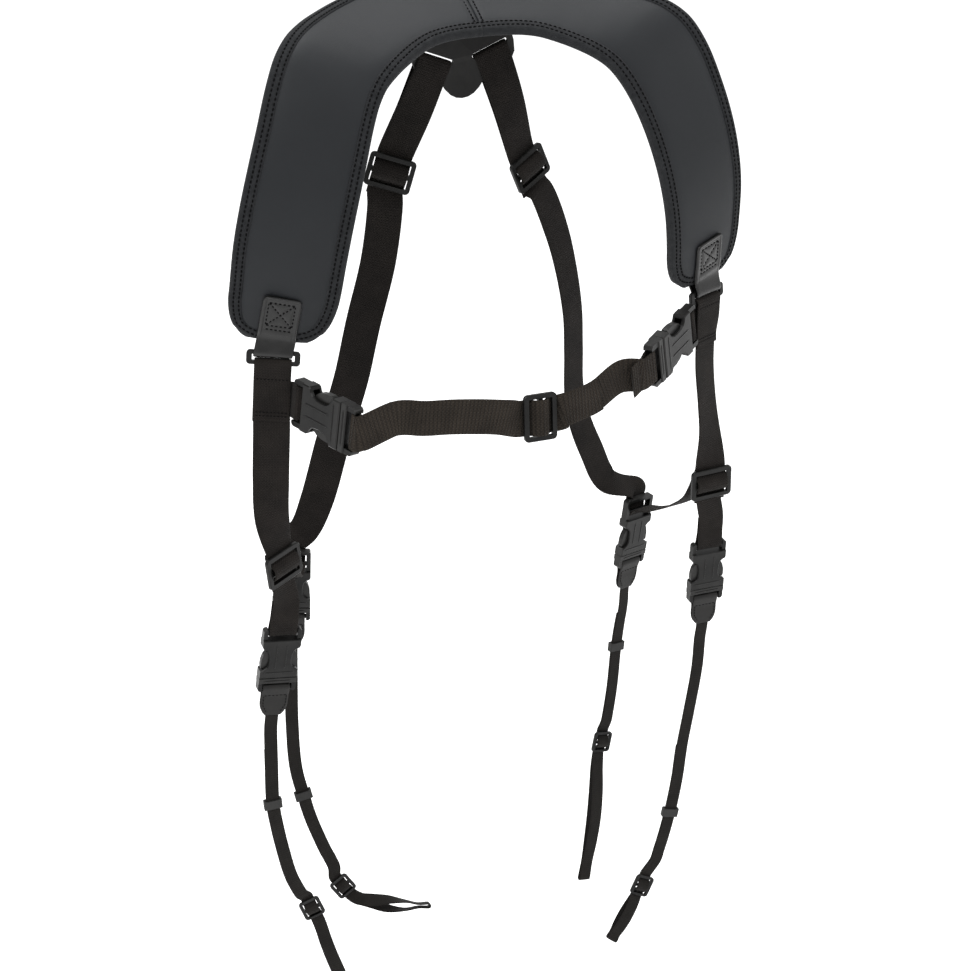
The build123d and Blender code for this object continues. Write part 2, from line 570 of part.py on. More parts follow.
    # left part: round the left male's bar and back through the slider behind the first layer
    keys2 = [(hl.at(vb + 24, -0.72), ul, WEB), (hl.at(vb + 12, -0.9), ul, WEB), (hl.at(vb + 4, -rc + 0.3), ul, WEB)]
    keys2 += [(hl.at(vb - rc * math.sin(th), -rc * math.cos(th)), ul, WEB) for th in [math.pi * j / 6 for j in range(7)]]
    keys2 += [(hl.at(vb + 4, rc - 0.3), ul, WEB), (hl.at(vb + 12, 0.9), ul, WEB)]
    keys2 += [(e[2] + v3(0, 0.6, 0), zup, WEB), (e[1] + v3(0.3, 0.55, 0), zup, WEB), (e[0] + v3(0, 0.35, 0), zup, WEB)]
    scb = [(p, us, w) for p, u, w in scurve(SL, GLIDE, -0.65, WEB)]
    keys2 += list(reversed(scb))[1:-1]
    keys2 += [(SL.at(-GLIDE["lo"] / 2 - 5, -(1.5 + 0.15 + 1.9)), us, WEB)]
    add("sternum_strap", ribbon(keys, WEB_T), ribbon(keys2, WEB_T))
    add("sternum_slider", SL.put(slider(GLIDE)))

    # ---- tether buckles, keepers, tethers, rings, small sliders
    TETHER = {
        "front_right": ("fbuck_right", [(-177.6, -21.0, -151.5), (-178.9, -21.0, -184.8), (-179.7, -21.0, -218.5), (-178.6, -21.0, -231.0),
                                        (-174.4, -20.0, -259.6), (-168.2, -20.0, -289.4), (-159.5, -20.0, -309.0)], (-154.4, -20.0, -320.0), (0.36, 0.0, -1.0),
                        [(-149.8, -20.4, -336.9), (-143.0, -22.0, -362.0), (-134.0, -24.0, -392.0), (-128.5, -26.0, -410.0)]),
        "front_left": ("fbuck_left", [(168.3, -21.0, -151.0), (167.2, -20.0, -179.0), (161.8, -19.0, -219.3), (157.5, -18.0, -249.6), (154.6, -17.0, -281.5),
                                      (149.2, -17.0, -311.8), (141.6, -17.0, -342.0), (133.9, -18.0, -361.9)], (124.7, -19.0, -376.0), (-0.50, -0.06, -1.0),
                       [(118.0, -20.5, -388.5), (108.5, -22.5, -401.0), (94.4, -26.0, -417.0)]),
        "rear_left": ("rbuck_left", [(130.6, 40.0, -146.0), (127.8, 40.0, -164.0), (125.4, 40.0, -182.4), (121.6, 39.0, -221.0), (116.8, 38.3, -250.0)],
                      (112.5, 37.5, -268.0), (-0.22, -0.05, -1.0), [(109.6, 36.2, -284.0), (108.6, 36.0, -305.0), (104.9, 34.0, -343.4), (94.6, 31.0, -395.0)]),
        "rear_right": ("rbuck_right", [(-143.0, 44.0, -146.0), (-144.8, 44.0, -195.7), (-143.8, 44.0, -234.8), (-139.4, 43.0, -260.1), (-135.0, 42.0, -281.0),
                                       (-126.4, 40.0, -309.5), (-118.5, 38.6, -333.0)], (-112.8, 37.0, -349.4), (0.52, -0.06, -0.84),
                       [(-102.0, 34.0, -360.8), (-85.0, 30.0, -367.0), (-62.0, 24.0, -372.4), (-45.7, 20.0, -375.0)]),
    }
    for tag, (bk, pre, gp, gv, post) in TETHER.items():
        h = HW[bk]
        lad = bk.startswith("rbuck")
        add("tether_female_" + tag, h.put(female(1.0, lad)))
        add("tether_male_" + tag, h.put(male(1.0)))
        add("tether_prong_%s_a" % tag, h.put(prong(1.0, -1)))
        add("tether_prong_%s_b" % tag, h.put(prong(1.0, 1)))
        # leather keeper round the male's bar
        vb, rc, w = 43.4, 1.7 + 0.35 + 0.6, 20.2
        leg = [(66.5, 12.0), (64.5, 15.5), (61.5, 18.6), (57.5, w), (50.5, w)]
        kk = [(h.at(v, 1.22), h.U, ww) for v, ww in leg] + [(h.at(46.6, 2.1), h.U, w)]
        kk += [(h.at(vb - rc * math.sin(th), rc * math.cos(th)), h.U, w) for th in [math.pi * j / 6 for j in range(7)]]
        kk += [(h.at(46.6, -2.1), h.U, w)] + [(h.at(v, -1.22), h.U, ww) for v, ww in reversed(leg)]
        add("tether_keeper_" + tag, ribbon(kk, 1.2))
        # track of the tether: from inside the keeper to the end loop
        g = Hw(gp, gv, az(-6) if not lad else az(4))
        B = TGLIDE["t"] / 2 + 0.15 + 1.075
        track = [(h.at(53, 0), h.U), (h.at(60, 0), h.U), (h.at(68, 0), h.U)]
        n1 = len(pre)
        for i, p in enumerate(pre):
            f = (i + 1) / (n1 + 1)
            track.append((v3(p), (1 - f) * h.U + f * g.U))
        track += [(g.at(v, 0), g.U) for v in (-14.0, 0.0, 14.0)]
        uend = v3(0.15, 0.88, -0.40) if tag == "rear_right" else g.U
        post = [p for p in post if (v3(p) - g.o) @ g.V > 20]
        for i, p in enumerate(post):
            f = min(1.0, (i + 0.6) / 1.6) if tag == "rear_right" else 0.0
            track.append((v3(p), (1 - f) * g.U + f * uend))
        rows_ = catmull(np.array([list(p) + list(u) for p, u in track]), 8)
        C, U = rows_[:, :3], rows_[:, 3:6]
        S = np.concatenate([[0], np.cumsum(np.linalg.norm(np.diff(C, axis=0), axis=1))])
        T = np.array([unit(t) for t in np.gradient(C, axis=0)])
        U = np.array([unit(u - t * (u @ t)) for u, t in zip(U, T)])
        N = np.cross(T, U)
        if N[len(N) // 2] @ g.N < 0:
            N = -N
        Ltot = S[-1]
        sg = S[np.argmin(np.linalg.norm(C - g.o, axis=1))]

        def at(s, n):
            c = np.array([np.interp(s, S, C[:, q]) for q in range(3)])
            nn = unit(np.array([np.interp(s, S, N[:, q]) for q in range(3)]))
            uu = unit(np.array([np.interp(s, S, U[:, q]) for q in range(3)]))
            if s > Ltot:
                c = c + T[-1] * (s - Ltot)
            return c + nn * n, uu

        def weave(o):
            r = []
            for p, u, w in scurve(g, TGLIDE, o, TETHER_W, half=1.075):
                r.append((p, u, w))
            return r
        s_in, s_out = sg - TGLIDE["lo"] / 2 - 1.5, sg + TGLIDE["lo"] / 2 + 1.5
        # positions of ring and tail measured along the tether from the keeper
        main, ret = [], []
        ringp = {"front_right": (-179.7, -21.0, -218.5), "front_left": (149.2, -17.0, -311.8), "rear_left": (125.4, 40.0, -182.4), "rear_right": (-139.4, 43.0, -260.1)}[tag]
        tailp = {"front_right": (-178.9, -21.0, -172.0), "front_left": (157.5, -18.0, -249.6), "rear_left": (130.0, 40.0, -153.5), "rear_right": (-144.6, 44.0, -212.0)}[tag]
        s_ring = S[np.argmin(np.linalg.norm(C - v3(ringp), axis=1))]
        s_tail = S[np.argmin(np.linalg.norm(C - v3(tailp), axis=1))]
        s = 0.0
        grid = list(np.arange(0, s_in - 6, 9.0))
        for s in grid:
            p, u = at(s, 0.0)
            main.append((p, u, TETHER_W))
        gr = [s for s in grid if s > s_tail + 2] 
        rows_r = [at(s_tail, -1.15)] + [at(s, -1.15) for s in gr]
        wm, wr = weave(0.575), weave(-0.575)
        end = []
        # open end loop: the two strands part, round the end, and meet again
        Lr = Ltot - s_out
        opn = 3.4 if tag != "rear_right" else 4.8
        fr_ = [0.12, 0.3, 0.5, 0.7, 0.86]
        for f in fr_:
            z = math.sin(math.pi * min(1, f * 1.05)) * opn
            p, u = at(s_out + Lr * f, -(B - 0.575) * (1 - f) + z * 0.8)
            end.append((p, u, TETHER_W))
        r_end = 1.6
        for th in [math.pi * j / 6 for j in range(7)]:
            p, u = at(Ltot - r_end + r_end * math.sin(th), r_end * math.cos(th))
            end.append((p, u, TETHER_W))
        for f in reversed(fr_):
            z = math.sin(math.pi * min(1, f * 1.05)) * opn
            p, u = at(s_out + Lr * f, -(B + 0.575) * (1 - f) - z)
            end.append((p, u, TETHER_W))
        keys = main + wm + end + list(reversed(wr)) + [(p, u, TETHER_W) for p, u in reversed(rows_r)]
        add("tether_strap_" + tag, ribbon(keys, TETHER_T, turn=13, far=12))
        add("tether_slider_" + tag, g.put(slider(TGLIDE)))
        # rubber ring round both strands
        c0, u0 = at(s_ring, -0.575)
        c1, _ = at(s_ring + 3, -0.575)
        R = Hw(c0, c1 - c0, N[np.argmin(abs(S - s_ring))])
        hw_, hn = RING_W / 2, 1.075 + 0.35 + RING_WALL
        rg = Box(RING_W, RING_H, 2 * hn)
        rg = fillet(rg.edges().filter_by(Axis.Y), 1.1)
        rg -= Box(TETHER_W + 0.8, RING_H + 2, 2 * (1.075 + 0.35))
        add("tether_ring_" + tag, R.put(one(rg)))
        HW["ring_" + tag] = R
        HW["tglide_" + tag] = g


build()

if __name__ == "__main__" or True:
    os.makedirs("parts", exist_ok=True)
    back = Location((-NAPE[0], -NAPE[1], -NAPE[2]))
    for name, solids in OUT.items():
        moved = [s.moved(back) for s in solids]
        shape = moved[0] if len(moved) == 1 else Compound(children=moved)
        shape.label = name
        export_step(shape, "parts/%s.step" % name)
    print(len(OUT), "nodes")
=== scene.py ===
import bpy
import math
import numpy as np
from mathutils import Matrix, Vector


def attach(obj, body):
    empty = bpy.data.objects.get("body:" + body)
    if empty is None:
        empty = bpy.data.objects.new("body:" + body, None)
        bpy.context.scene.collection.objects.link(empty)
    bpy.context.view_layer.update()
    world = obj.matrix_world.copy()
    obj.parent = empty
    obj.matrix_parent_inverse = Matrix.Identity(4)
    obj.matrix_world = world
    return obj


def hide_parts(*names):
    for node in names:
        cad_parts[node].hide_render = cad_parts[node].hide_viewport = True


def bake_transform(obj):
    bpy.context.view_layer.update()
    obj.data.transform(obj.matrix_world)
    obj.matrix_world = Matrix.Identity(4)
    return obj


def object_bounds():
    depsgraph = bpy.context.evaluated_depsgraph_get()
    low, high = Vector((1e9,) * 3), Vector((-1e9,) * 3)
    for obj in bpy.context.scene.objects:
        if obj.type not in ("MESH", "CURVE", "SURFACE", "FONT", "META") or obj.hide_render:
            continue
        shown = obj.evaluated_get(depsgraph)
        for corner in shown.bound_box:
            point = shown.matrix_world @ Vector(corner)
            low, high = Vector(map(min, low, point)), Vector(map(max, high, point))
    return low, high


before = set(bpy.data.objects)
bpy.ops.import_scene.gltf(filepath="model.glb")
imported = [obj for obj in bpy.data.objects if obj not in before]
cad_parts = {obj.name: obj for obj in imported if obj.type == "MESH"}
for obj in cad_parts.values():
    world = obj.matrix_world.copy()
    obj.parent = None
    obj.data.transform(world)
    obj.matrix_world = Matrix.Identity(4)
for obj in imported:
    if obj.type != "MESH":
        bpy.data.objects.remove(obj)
CAD_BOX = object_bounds()

RIB = {}          # name -> [(keys, thickness), ...] in millimetres, drafting frame


def ribbon(keys, t, turn=0, far=0):
    return keys, t


def add(name, *ribs):
    RIB[name] = list(ribs)


# ---- driving dimensions -------------------------------------------------------
NAPE = (0.0, 31.1, 342.2)        # nape rest in the drafting frame
PAD_T = 4.2                      # laminate of the yoke
LINING_T = 0.9                   # lining under it
BIND_W = 7.0                     # edge tape: width on the face and on the lining
BIND_T = 0.7
SEAM_GAP = 0.3                   # centre-back seam between the two laminate halves
WEB = 25.0                       # main webbing width
WEB_T = 1.2
WEB_LOW = 20.4                   # where it gathers to pass the small hardware
TETHER_W = 10.0
TETHER_T = 1.0
GLIDE = dict(wo=33.0, lo=24.2, t=3.0, slot=7.0, bar=3.4, wi=26.4)      # 25 mm slider
TGLIDE = dict(wo=16.4, lo=17.8, t=2.4, slot=5.8, bar=2.1, wi=11.2)     # 10 mm slider
RING_W, RING_H, RING_WALL = 13.6, 7.0, 1.2     # rubber keeper ring round a tether
BUCKLE_SMALL = 1.0               # 20 mm side-release buckle
BUCKLE_LARGE = 1.214             # 25 mm side-release buckle



def v3(*a):
    return np.array(a if len(a) > 1 else a[0], dtype=float)


def unit(a):
    a = v3(a)
    return a / np.linalg.norm(a)


def az(deg):
    """Horizontal direction facing forward, turned deg towards +X."""
    r = math.radians(deg)
    return v3(math.sin(r), -math.cos(r), 0.0)



class Hw:
    """Placement of a piece of hardware: o origin, V along the strap, U across, N outward."""

    def __init__(self, o, V, face, roll=0.0):
        self.o = v3(o)
        self.V = unit(V)
        n = v3(face)
        self.N = unit(n - self.V * (n @ self.V))
        self.U = unit(np.cross(self.N, self.V))
        if roll:
            c, s = math.cos(math.radians(roll)), math.sin(math.radians(roll))
            self.U, self.V = c * self.U + s * self.V, c * self.V - s * self.U

    def at(self, v, n=0.0, u=0.0):
        return self.o + self.V * v + self.N * n + self.U * u


def catmull(P, m=6):
    """Centripetal Catmull-Rom through the rows of P, with row parameter kept."""
    P = np.array(P, float)
    Q = np.vstack([2 * P[0] - P[1], P, 2 * P[-1] - P[-2]])
    out = []
    for i in range(1, len(Q) - 2):
        p0, p1, p2, p3 = Q[i - 1], Q[i], Q[i + 1], Q[i + 2]
        t0 = 0.0
        t1 = t0 + max(np.linalg.norm((p1 - p0)[:3]), 1e-6) ** 0.5
        t2 = t1 + max(np.linalg.norm((p2 - p1)[:3]), 1e-6) ** 0.5
        t3 = t2 + max(np.linalg.norm((p3 - p2)[:3]), 1e-6) ** 0.5
        for k in range(m):
            t = t1 + (t2 - t1) * k / m
            A1 = (t1 - t) / (t1 - t0) * p0 + (t - t0) / (t1 - t0) * p1
            A2 = (t2 - t) / (t2 - t1) * p1 + (t - t1) / (t2 - t1) * p2
            A3 = (t3 - t) / (t3 - t2) * p2 + (t - t2) / (t3 - t2) * p3
            B1 = (t2 - t) / (t2 - t0) * A1 + (t - t0) / (t2 - t0) * A2
            B2 = (t3 - t) / (t3 - t1) * A2 + (t - t1) / (t3 - t1) * A3
            out.append((t2 - t) / (t2 - t1) * B1 + (t - t1) / (t2 - t1) * B2)
    out.append(P[-1])
    return np.array(out)



def scurve(hw, g, o, w, half=1.25, gap=0.15, up=True, ext=1.5):
    """Keys for one layer woven through a slider: behind, over the middle bar, behind.
    o is the layer's offset across the weave; ends lie ext beyond the slider."""
    B = g["t"] / 2 + gap + half
    s0 = g["bar"] / 2
    s1 = s0 + g["slot"]
    vs = [-(g["lo"] / 2 + ext), -(s1 + 1.2)]
    vs += [-(s1 - g["slot"] * k / 6.0) for k in range(0, 7)]
    vs += [-x for x in reversed(vs)]

    def c(v):
        v = abs(v)
        if v >= s1:
            return -B
        if v <= s0:
            return B
        x = (s1 - v) / g["slot"]
        return -B * math.cos(math.pi * x)

    keys = []
    for v in vs:
        e = 0.01
        sl = (c(v + e) - c(v - e)) / (2 * e)
        L = math.hypot(1, sl)
        keys.append((hw.at(v - sl / L * o, c(v) + o / L), hw.U, w))
    return keys



INNER = [(-120.2, -50.9, 176.8), (-116.2, -55.5, 201.7), (-110.9, -57.2, 226.0), (-104.6, -56.2, 248.9),
         (-98.0, -52.6, 269.3), (-91.3, -46.7, 286.6), (-84.4, -40.4, 300.3), (-77.1, -35.3, 310.5),
         (-68.3, -30.2, 317.8), (-57.5, -23.4, 323.8), (-46.8, -16.7, 328.3), (-37.7, -12.3, 331.3),
         (-28.3, -9.2, 332.8), (-14.9, -6.2, 333.3), (0.0, -4.9, 333.2)]
OUTER = [(-187.4, -22.7, 185.0), (-184.5, -29.1, 214.7), (-179.2, -32.7, 241.9), (-172.3, -33.5, 267.4),
         (-164.2, -31.2, 292.0), (-155.4, -25.6, 315.6), (-145.7, -16.6, 333.1), (-134.7, -4.2, 342.4),
         (-122.0, 10.4, 346.6), (-106.8, 25.7, 349.2), (-89.5, 39.8, 352.0), (-68.9, 51.5, 355.5),
         (-46.6, 58.9, 359.0), (-22.8, 62.2, 361.8), (0.0, 62.8, 362.7)]


def yoke_rows():
    """Rows (inner edge, outer edge, up-normal) of the left half, lobe tip first."""
    I, O = np.array(INNER), np.array(OUTER)
    # rounded lobe tip: continue down with a shrinking width
    down = unit((I[0] - I[1]) * 0.5 + (O[0] - O[1]) * 0.5)
    down = unit(down + v3(0, 0.10, 0))
    mid = (I[0] + O[0]) / 2
    half = (O[0] - I[0]) / 2
    cap = []
    for s, q in ((39.5, 0.34), (38.5, 0.52), (35.5, 0.68), (31.0, 0.80), (24.5, 0.895), (17.0, 0.955), (8.5, 0.99)):
        c = mid + down * s
        cap.append((c - half * q, c + half * q))
    rows = cap + list(zip(I, O))
    C = np.array([(a + b) / 2 for a, b in rows])
    T = np.gradient(C, axis=0)
    out = []
    for k, (a, b) in enumerate(rows):
        t = unit(T[k]) if k < len(rows) - 1 else v3(1, 0, 0)
        out.append((a, b, unit(np.cross(t, unit(b - a)))))
    a, b, n = out[-1]
    n = unit(v3(0, n[1], n[2]))
    out[-1] = (a, b, n)
    return out



def mirror_x(p):
    return v3(-p[0], p[1], p[2])


HW = {}
for tag, s in (("right", -1), ("left", 1)):     # wearer's right is -X
    L = s < 0
    HW["frame_" + tag] = Hw((-161.3, -27.5, 134.2) if L else (159.6, -27.5, 134.2), (-0.12, -0.06, -1) if L else (0.05, -0.06, -1), az(-18 if L else 24))
    HW["fglide_" + tag] = Hw((-164.6, -36.0, -16.9) if L else (165.0, -36.0, -12.4),
                             (0.10, 0.03, -1) if L else (0.03, 0.04, -1), az(31 if L else 2))
    HW["fbuck_" + tag] = Hw((-166.4, -26.0, -75.5) if L else (169.8, -26.0, -71.2),
                            (-10.0, 4.0, -66.0) if L else (-0.6, 4.0, -68.7), az(0))
    HW["rglide_" + tag] = Hw((-52.3, 43.0, 229.2) if L else (52.4, 43.0, 220.6),
                             (-0.30, 0.08, -1) if L else (0.42, 0.08, -1), az(-21 if L else 24))
    HW["slot_" + tag] = Hw((-21.0, 35.0, 306.6) if L else (19.8, 35.0, 309.6),
                           (-0.38, 0.11, -0.92) if L else (0.38, 0.11, -0.92), (0, -0.993, -0.12))
    HW["rbuck_" + tag] = Hw((-139.7, 38.0, -57.1) if L else (138.6, 36.0, -63.5),
                            (-2.7, 6.0, -75.0) if L else (-7.5, 4.0, -69.2), az(-15 if L else 21))



def build():
    rows = yoke_rows()

    # ---- leather tabs: sewn on the lobe face, folded through the shoulder ring
    for tag, s in (("right", -1), ("left", 1)):
        fr = HW["frame_" + tag]
        a, b, n = rows[7]
        m = (a + b) / 2
        down = unit((rows[0][0] + rows[0][1]) / 2 - m)
        if s > 0:
            m, n, down = mirror_x(m), mirror_x(n), mirror_x(down)
        u = fr.U
        w = 26.0
        ht = 0.9 + 1.6      # above the crowned face
        bar = fr.at(-3.65, 0)
        P = lambda d, h: m + down * d + n * h
        keys = [(P(3, ht), u, w * 0.86), (P(5, ht), u, w), (P(20, ht), u, w), (P(34, ht), u, w)]
        # round the upper bar of the ring and back up under the lobe
        rc = 2.05 + 0.8 + 0.05
        gu = unit(bar - keys[-1][0])
        side = unit(n - gu * (n @ gu))
        lo = -(BIND_T * 2 + PAD_T + LINING_T) - 0.85 + 1.3
        for k in range(7):
            th = math.pi * k / 6
            keys.append((bar + side * rc * math.cos(th) + gu * rc * math.sin(th), u, w))
        keys += [(P(34, lo), u, w), (P(20, lo), u, w), (P(8, lo), u, w)]
        add("leather_tab_" + tag, ribbon(keys, 1.6, turn=12))

    # ---- front straps: sewn loop on the ring, down to the slider, short tail
    FRONT = {"right": [(-164.6, -29.0, 104.8), (-166.6, -31.0, 80.4), (-169.4, -33.0, 48.3), (-170.8, -35.0, 22.0)],
             "left": [(159.9, -29.0, 103.4), (158.6, -31.0, 81.1), (160.4, -33.0, 54.0), (162.3, -35.0, 30.6)]}
    FAZ = {"right": (-18, -14, -8, 4), "left": (30, 32, 33, 27)}
    for tag in ("right", "left"):
        fr, gl = HW["frame_" + tag], HW["fglide_" + tag]
        pts = FRONT[tag]
        U = [unit(np.cross(az(a), v3(0, 0, -1))) for a in FAZ[tag]]
        down = unit(v3(pts[0]) - fr.at(6, 0))
        nn = fr.N
        front_leg = [(v3(pts[0]) + down * (15 if tag == "right" else 7) + nn * 0.72, U[0], WEB), (v3(pts[0]) + nn * 0.72, U[0], WEB),
                     (fr.at(18, 0.9), fr.U, WEB), (fr.at(9.5, 2.0), fr.U, WEB)]
        vb = 3.65
        rc = 2.05 + 0.05 + WEB_T / 2
        loop = [(fr.at(vb - rc * math.sin(math.pi * k / 6), rc * math.cos(math.pi * k / 6)), fr.U, WEB) for k in range(7)]
        back_leg = [(fr.at(9.5, -2.0), fr.U, WEB), (fr.at(18, -0.9), fr.U, WEB), (v3(pts[0]) - nn * 0.62, U[0], WEB)]
        mid = [(v3(p), u, WEB) for p, u in list(zip(pts, U))[1:]]
        sc = scurve(gl, GLIDE, 0.65, WEB)
        tail = [(gl.at(GLIDE["lo"] / 2 + 3.2, -(1.5 + 0.15 + 0.6)), gl.U, WEB)]
        add("front_strap_" + tag, ribbon(front_leg + loop + back_leg + mid + sc[:-1] + tail, WEB_T))

    # ---- rear straps: plate slot, rear slider, back, rear buckle, underarm arc,
    #      front slider, front buckle
    REAR = {"right": [(-56.3, 44.0, 206.4), (-61.9, 46.0, 166.3), (-74.8, 47.0, 119.8), (-84.8, 46.0, 82.6),
                      (-90.9, 46.0, 64.1), (-102.4, 45.0, 31.4), (-116.6, 43.0, -10.1), (-127.0, 42.0, -30.5)],
            "left": [(61.3, 44.0, 202.4), (74.3, 46.0, 171.0), (82.4, 47.0, 140.6), (87.9, 47.0, 105.6),
                     (88.5, 46.0, 75.7), (88.7, 45.0, 43.7), (93.0, 44.0, 19.2), (101.9, 42.0, -6.0), (115.0, 41.0, -33.4)]}
    RAZ = {"right": [-21, -21, -20, -19, -18, -18, -17, -16], "left": [26, 28, 31, 33, 33, 32, 28, 24, 21]}
    ARC = {"right": [(-146.5, 21.0, -56.0), (-151.5, 6.0, -48.5), (-156.5, -9.0, -38.0), (-161.0, -22.0, -26.0)],
           "left": [(145.3, 21.0, -55.6), (150.5, 6.0, -47.8), (154.6, -9.0, -38.0), (159.5, -21.5, -26.0)]}
    for tag in ("right", "left"):
        rg, st, rb, fg, fb = (HW[k + "_" + tag] for k in ("rglide", "slot", "rbuck", "fglide", "fbuck"))
        # upper end: short tail behind the slider, up the back of the plate, through the slot
        scb = scurve(rg, GLIDE, -0.65, WEB)
        scf = scurve(rg, GLIDE, 0.65, WEB)
        tailv = GLIDE["lo"] / 2 + 6.0
        keys = [(rg.at(tailv, -(1.5 + 0.15 + 0.6 + 1.3) - 0.3), rg.U, WEB)] + list(reversed(scb))[1:]
        gapv = st.o + (rg.o - st.o) * 0.45
        ug = st.U * 0.5 + rg.U * 0.5
        ng = unit(rg.N * 0.5 + st.N * 0.5)
        keys += [(gapv - ng * 1.6, ug, WEB), (st.at(10, -2.5), st.U, WEB), (st.at(3, -2.4), st.U, WEB)]
        rc = 1.5 + 0.15 + 0.6
        keys += [(st.at(-rc * math.sin(th), -rc * math.cos(th)), st.U, WEB) for th in [math.pi * k / 6 for k in range(7)]]
        keys += [(st.at(3, 2.4), st.U, WEB), (st.at(10, 2.5), st.U, WEB), (gapv + ng * 1.6, ug, WEB)]
        keys += scf
        pts = REAR[tag]
        for p, a in zip(pts, RAZ[tag]):
            w = WEB if p[2] > 10 else WEB * 0.9 + WEB_LOW * 0.1 if p[2] > -20 else 22.6
            keys.append((v3(p), unit(np.cross(az(a), v3(0, 0, -1))), w))
        # round the rear buckle's web bar: down the back, under, up the front
        rcb = 1.7 + 0.12 + 0.6
        keys += [(rb.at(-18, -4.2), rb.U, 21.0), (rb.at(-12, -4.0), rb.U, WEB_LOW), (rb.at(-7.0, -3.2), rb.U, WEB_LOW)]
        keys += [(rb.at(-2.2 + rcb * math.sin(th), -rcb * math.cos(th)), rb.U, WEB_LOW) for th in [math.pi * k / 6 for k in range(1, 7)]]
        keys += [(rb.at(-5.2, 4.6), rb.U, WEB_LOW)]
        ar = ARC[tag]
        for i, p in enumerate(ar):
            f = (i + 1) / (len(ar) + 1)
            keys.append((v3(p), (1 - f) * rb.U + f * fg.U, WEB_LOW))
        sc = scurve(fg, GLIDE, -0.65, WEB_LOW)
        # a rounded hairpin behind the slider, so the tape comes up, turns over and goes down
        keys += [(fg.at(-10.4 - 1.55 * math.sin(th), -5.15 - 1.55 * math.cos(th)), fg.U, WEB_LOW)
                 for th in [math.pi * k / 6 for k in range(7)]]
        keys += sc[2:]
        keys += [(fb.at(-26, 1.2), fb.U * 0.6 + fg.U * 0.4, WEB_LOW), (fb.at(-15, 1.7), fb.U, WEB_LOW), (fb.at(-7, 2.3), fb.U, WEB_LOW)]
        rcf = rcb
        keys += [(fb.at(-2.2 + rcf * math.sin(th), rcf * math.cos(th)), fb.U, WEB_LOW) for th in [math.pi * k / 6 for k in range(0, 7)]]
        keys += [(fb.at(-7, -1.6), fb.U, WEB_LOW), (fb.at(-15, -0.4), fb.U, WEB_LOW), (fb.at(-27, -0.5), fb.U, WEB_LOW)]
        add("rear_strap_" + tag, ribbon(keys, WEB_T))

    # ---- sternum strap: anchors, buckles, strap, slider
    SB = {"right": Hw((-148.3, -40.2, 104.9), (22.2, -50.6, -4.6), (-0.9, -0.42, 0.10)),
          "left": Hw((142.0, -39.2, 117.0), (-44.7, -30.2, -12.7), (0.60, -0.80, 0.0))}
    for tag in ("right", "left"):
        h = SB[tag]
        h.o = h.o + h.V * 2.2 * BUCKLE_LARGE
        HW["sbuck_" + tag] = h
    for tag, s in (("right", -1), ("left", 1)):
        h = HW["sbuck_" + tag]
        k = BUCKLE_LARGE
        # anchor: webbing loop round the web bar, its legs sewn to the back of the front strap
        fr = HW["frame_" + tag]
        vb, rb = -2.2 * k, 1.7 * k
        rc = rb + 0.12 + 0.6
        m = v3(FRONT[tag][0])
        inw = -s * fr.U
        base = m + v3(0, 0, h.o[2] - m[2])
        back = -fr.N
        WA = 24.0
        q = 6.0 if s > 0 else 5.6
        uu = h.U if h.U[2] > 0 else -h.U
        zz = v3(0, 0, 1)
        legs_a = [(base + inw * -9 + back * q, zz, WA), (base + inw * 2 + back * q, zz, WA), (base + inw * 11.0 + back * (q - 0.2), uu, WA)]
        legs_b = [(base + inw * 12.0 + back * (q + 1.2), uu, WA), (base + inw * 2 + back * (q + 1.4), zz, WA), (base + inw * -9 + back * (q + 1.4), zz, WA)]
        # the loop wraps the side of the bar that faces away from its legs
        ctr = h.at(vb)
        e = (legs_a[-1][0] + legs_b[0][0]) / 2 - ctr
        e = unit(e - h.U * (e @ h.U))
        p = unit(h.N - e * (h.N @ e))
        loop = [(ctr + rc * (math.cos(th) * p - math.sin(th) * e), uu, WA) for th in [math.pi * j / 6 for j in range(7)]]
        add("sternum_anchor_" + tag, ribbon(legs_a + loop + legs_b, WEB_T))

    hr, hl = HW["sbuck_right"], HW["sbuck_left"]
    k = BUCKLE_LARGE
    vb = 43.4 * k
    rc = 1.7 * k + 0.12 + 0.6
    STERN = [(-98.2, -95.0, 106.6), (-80.1, -98.0, 104.6), (-61.5, -99.0, 103.0), (-42.0, -99.0, 100.0), (-23.5, -97.5, 95.8)]
    SL = Hw((3.4, -94.0, 90.3), (1, 0.05, -0.03), (-0.03, -1, 0.12))
    HW["sslider"] = SL
    STERN2 = [(22.0, -91.5, 91.6), (45.7, -86.0, 94.5), (69.5, -79.0, 103.5), (84.0, -73.6, 109.0)]
    zup = v3(0, 0, 1)

    def near(u, ref):
        return u if u @ ref > 0 else -u
    ur, ul = near(hr.U, zup), near(hl.U, zup)
    keys = []
    # short sewn return on the right male's bar, then along the chest to the slider
    nr = 1.0
    keys += [(v3(STERN[0]) + v3(0.2, 1.35, 0), zup, WEB), (hr.at(vb + 4.5, -rc + 0.5), ur, WEB)]
    keys += [(hr.at(vb - rc * math.sin(th), -rc * math.cos(th)), ur, WEB) for th in [math.pi * j / 6 for j in range(7)]]
    keys += [(hr.at(vb + 4.5, rc - 0.3), ur, WEB)]
    keys += [(v3(p), zup, WEB) for p in STERN]
    us = near(SL.U, zup)
    sc = [(p, us, w) for p, u, w in scurve(SL, GLIDE, 0.65, WEB)]
    keys += sc
    e = [v3(p) for p in STERN2]
    keys += [(e[0] + v3(0.0, -1.0, 0), zup, WEB), (e[1] + v3(-0.6, -0.9, 0), zup, WEB), (e[1] + v3(6, 1.0, 1.6) + v3(0, 0, 0), zup, WEB)]
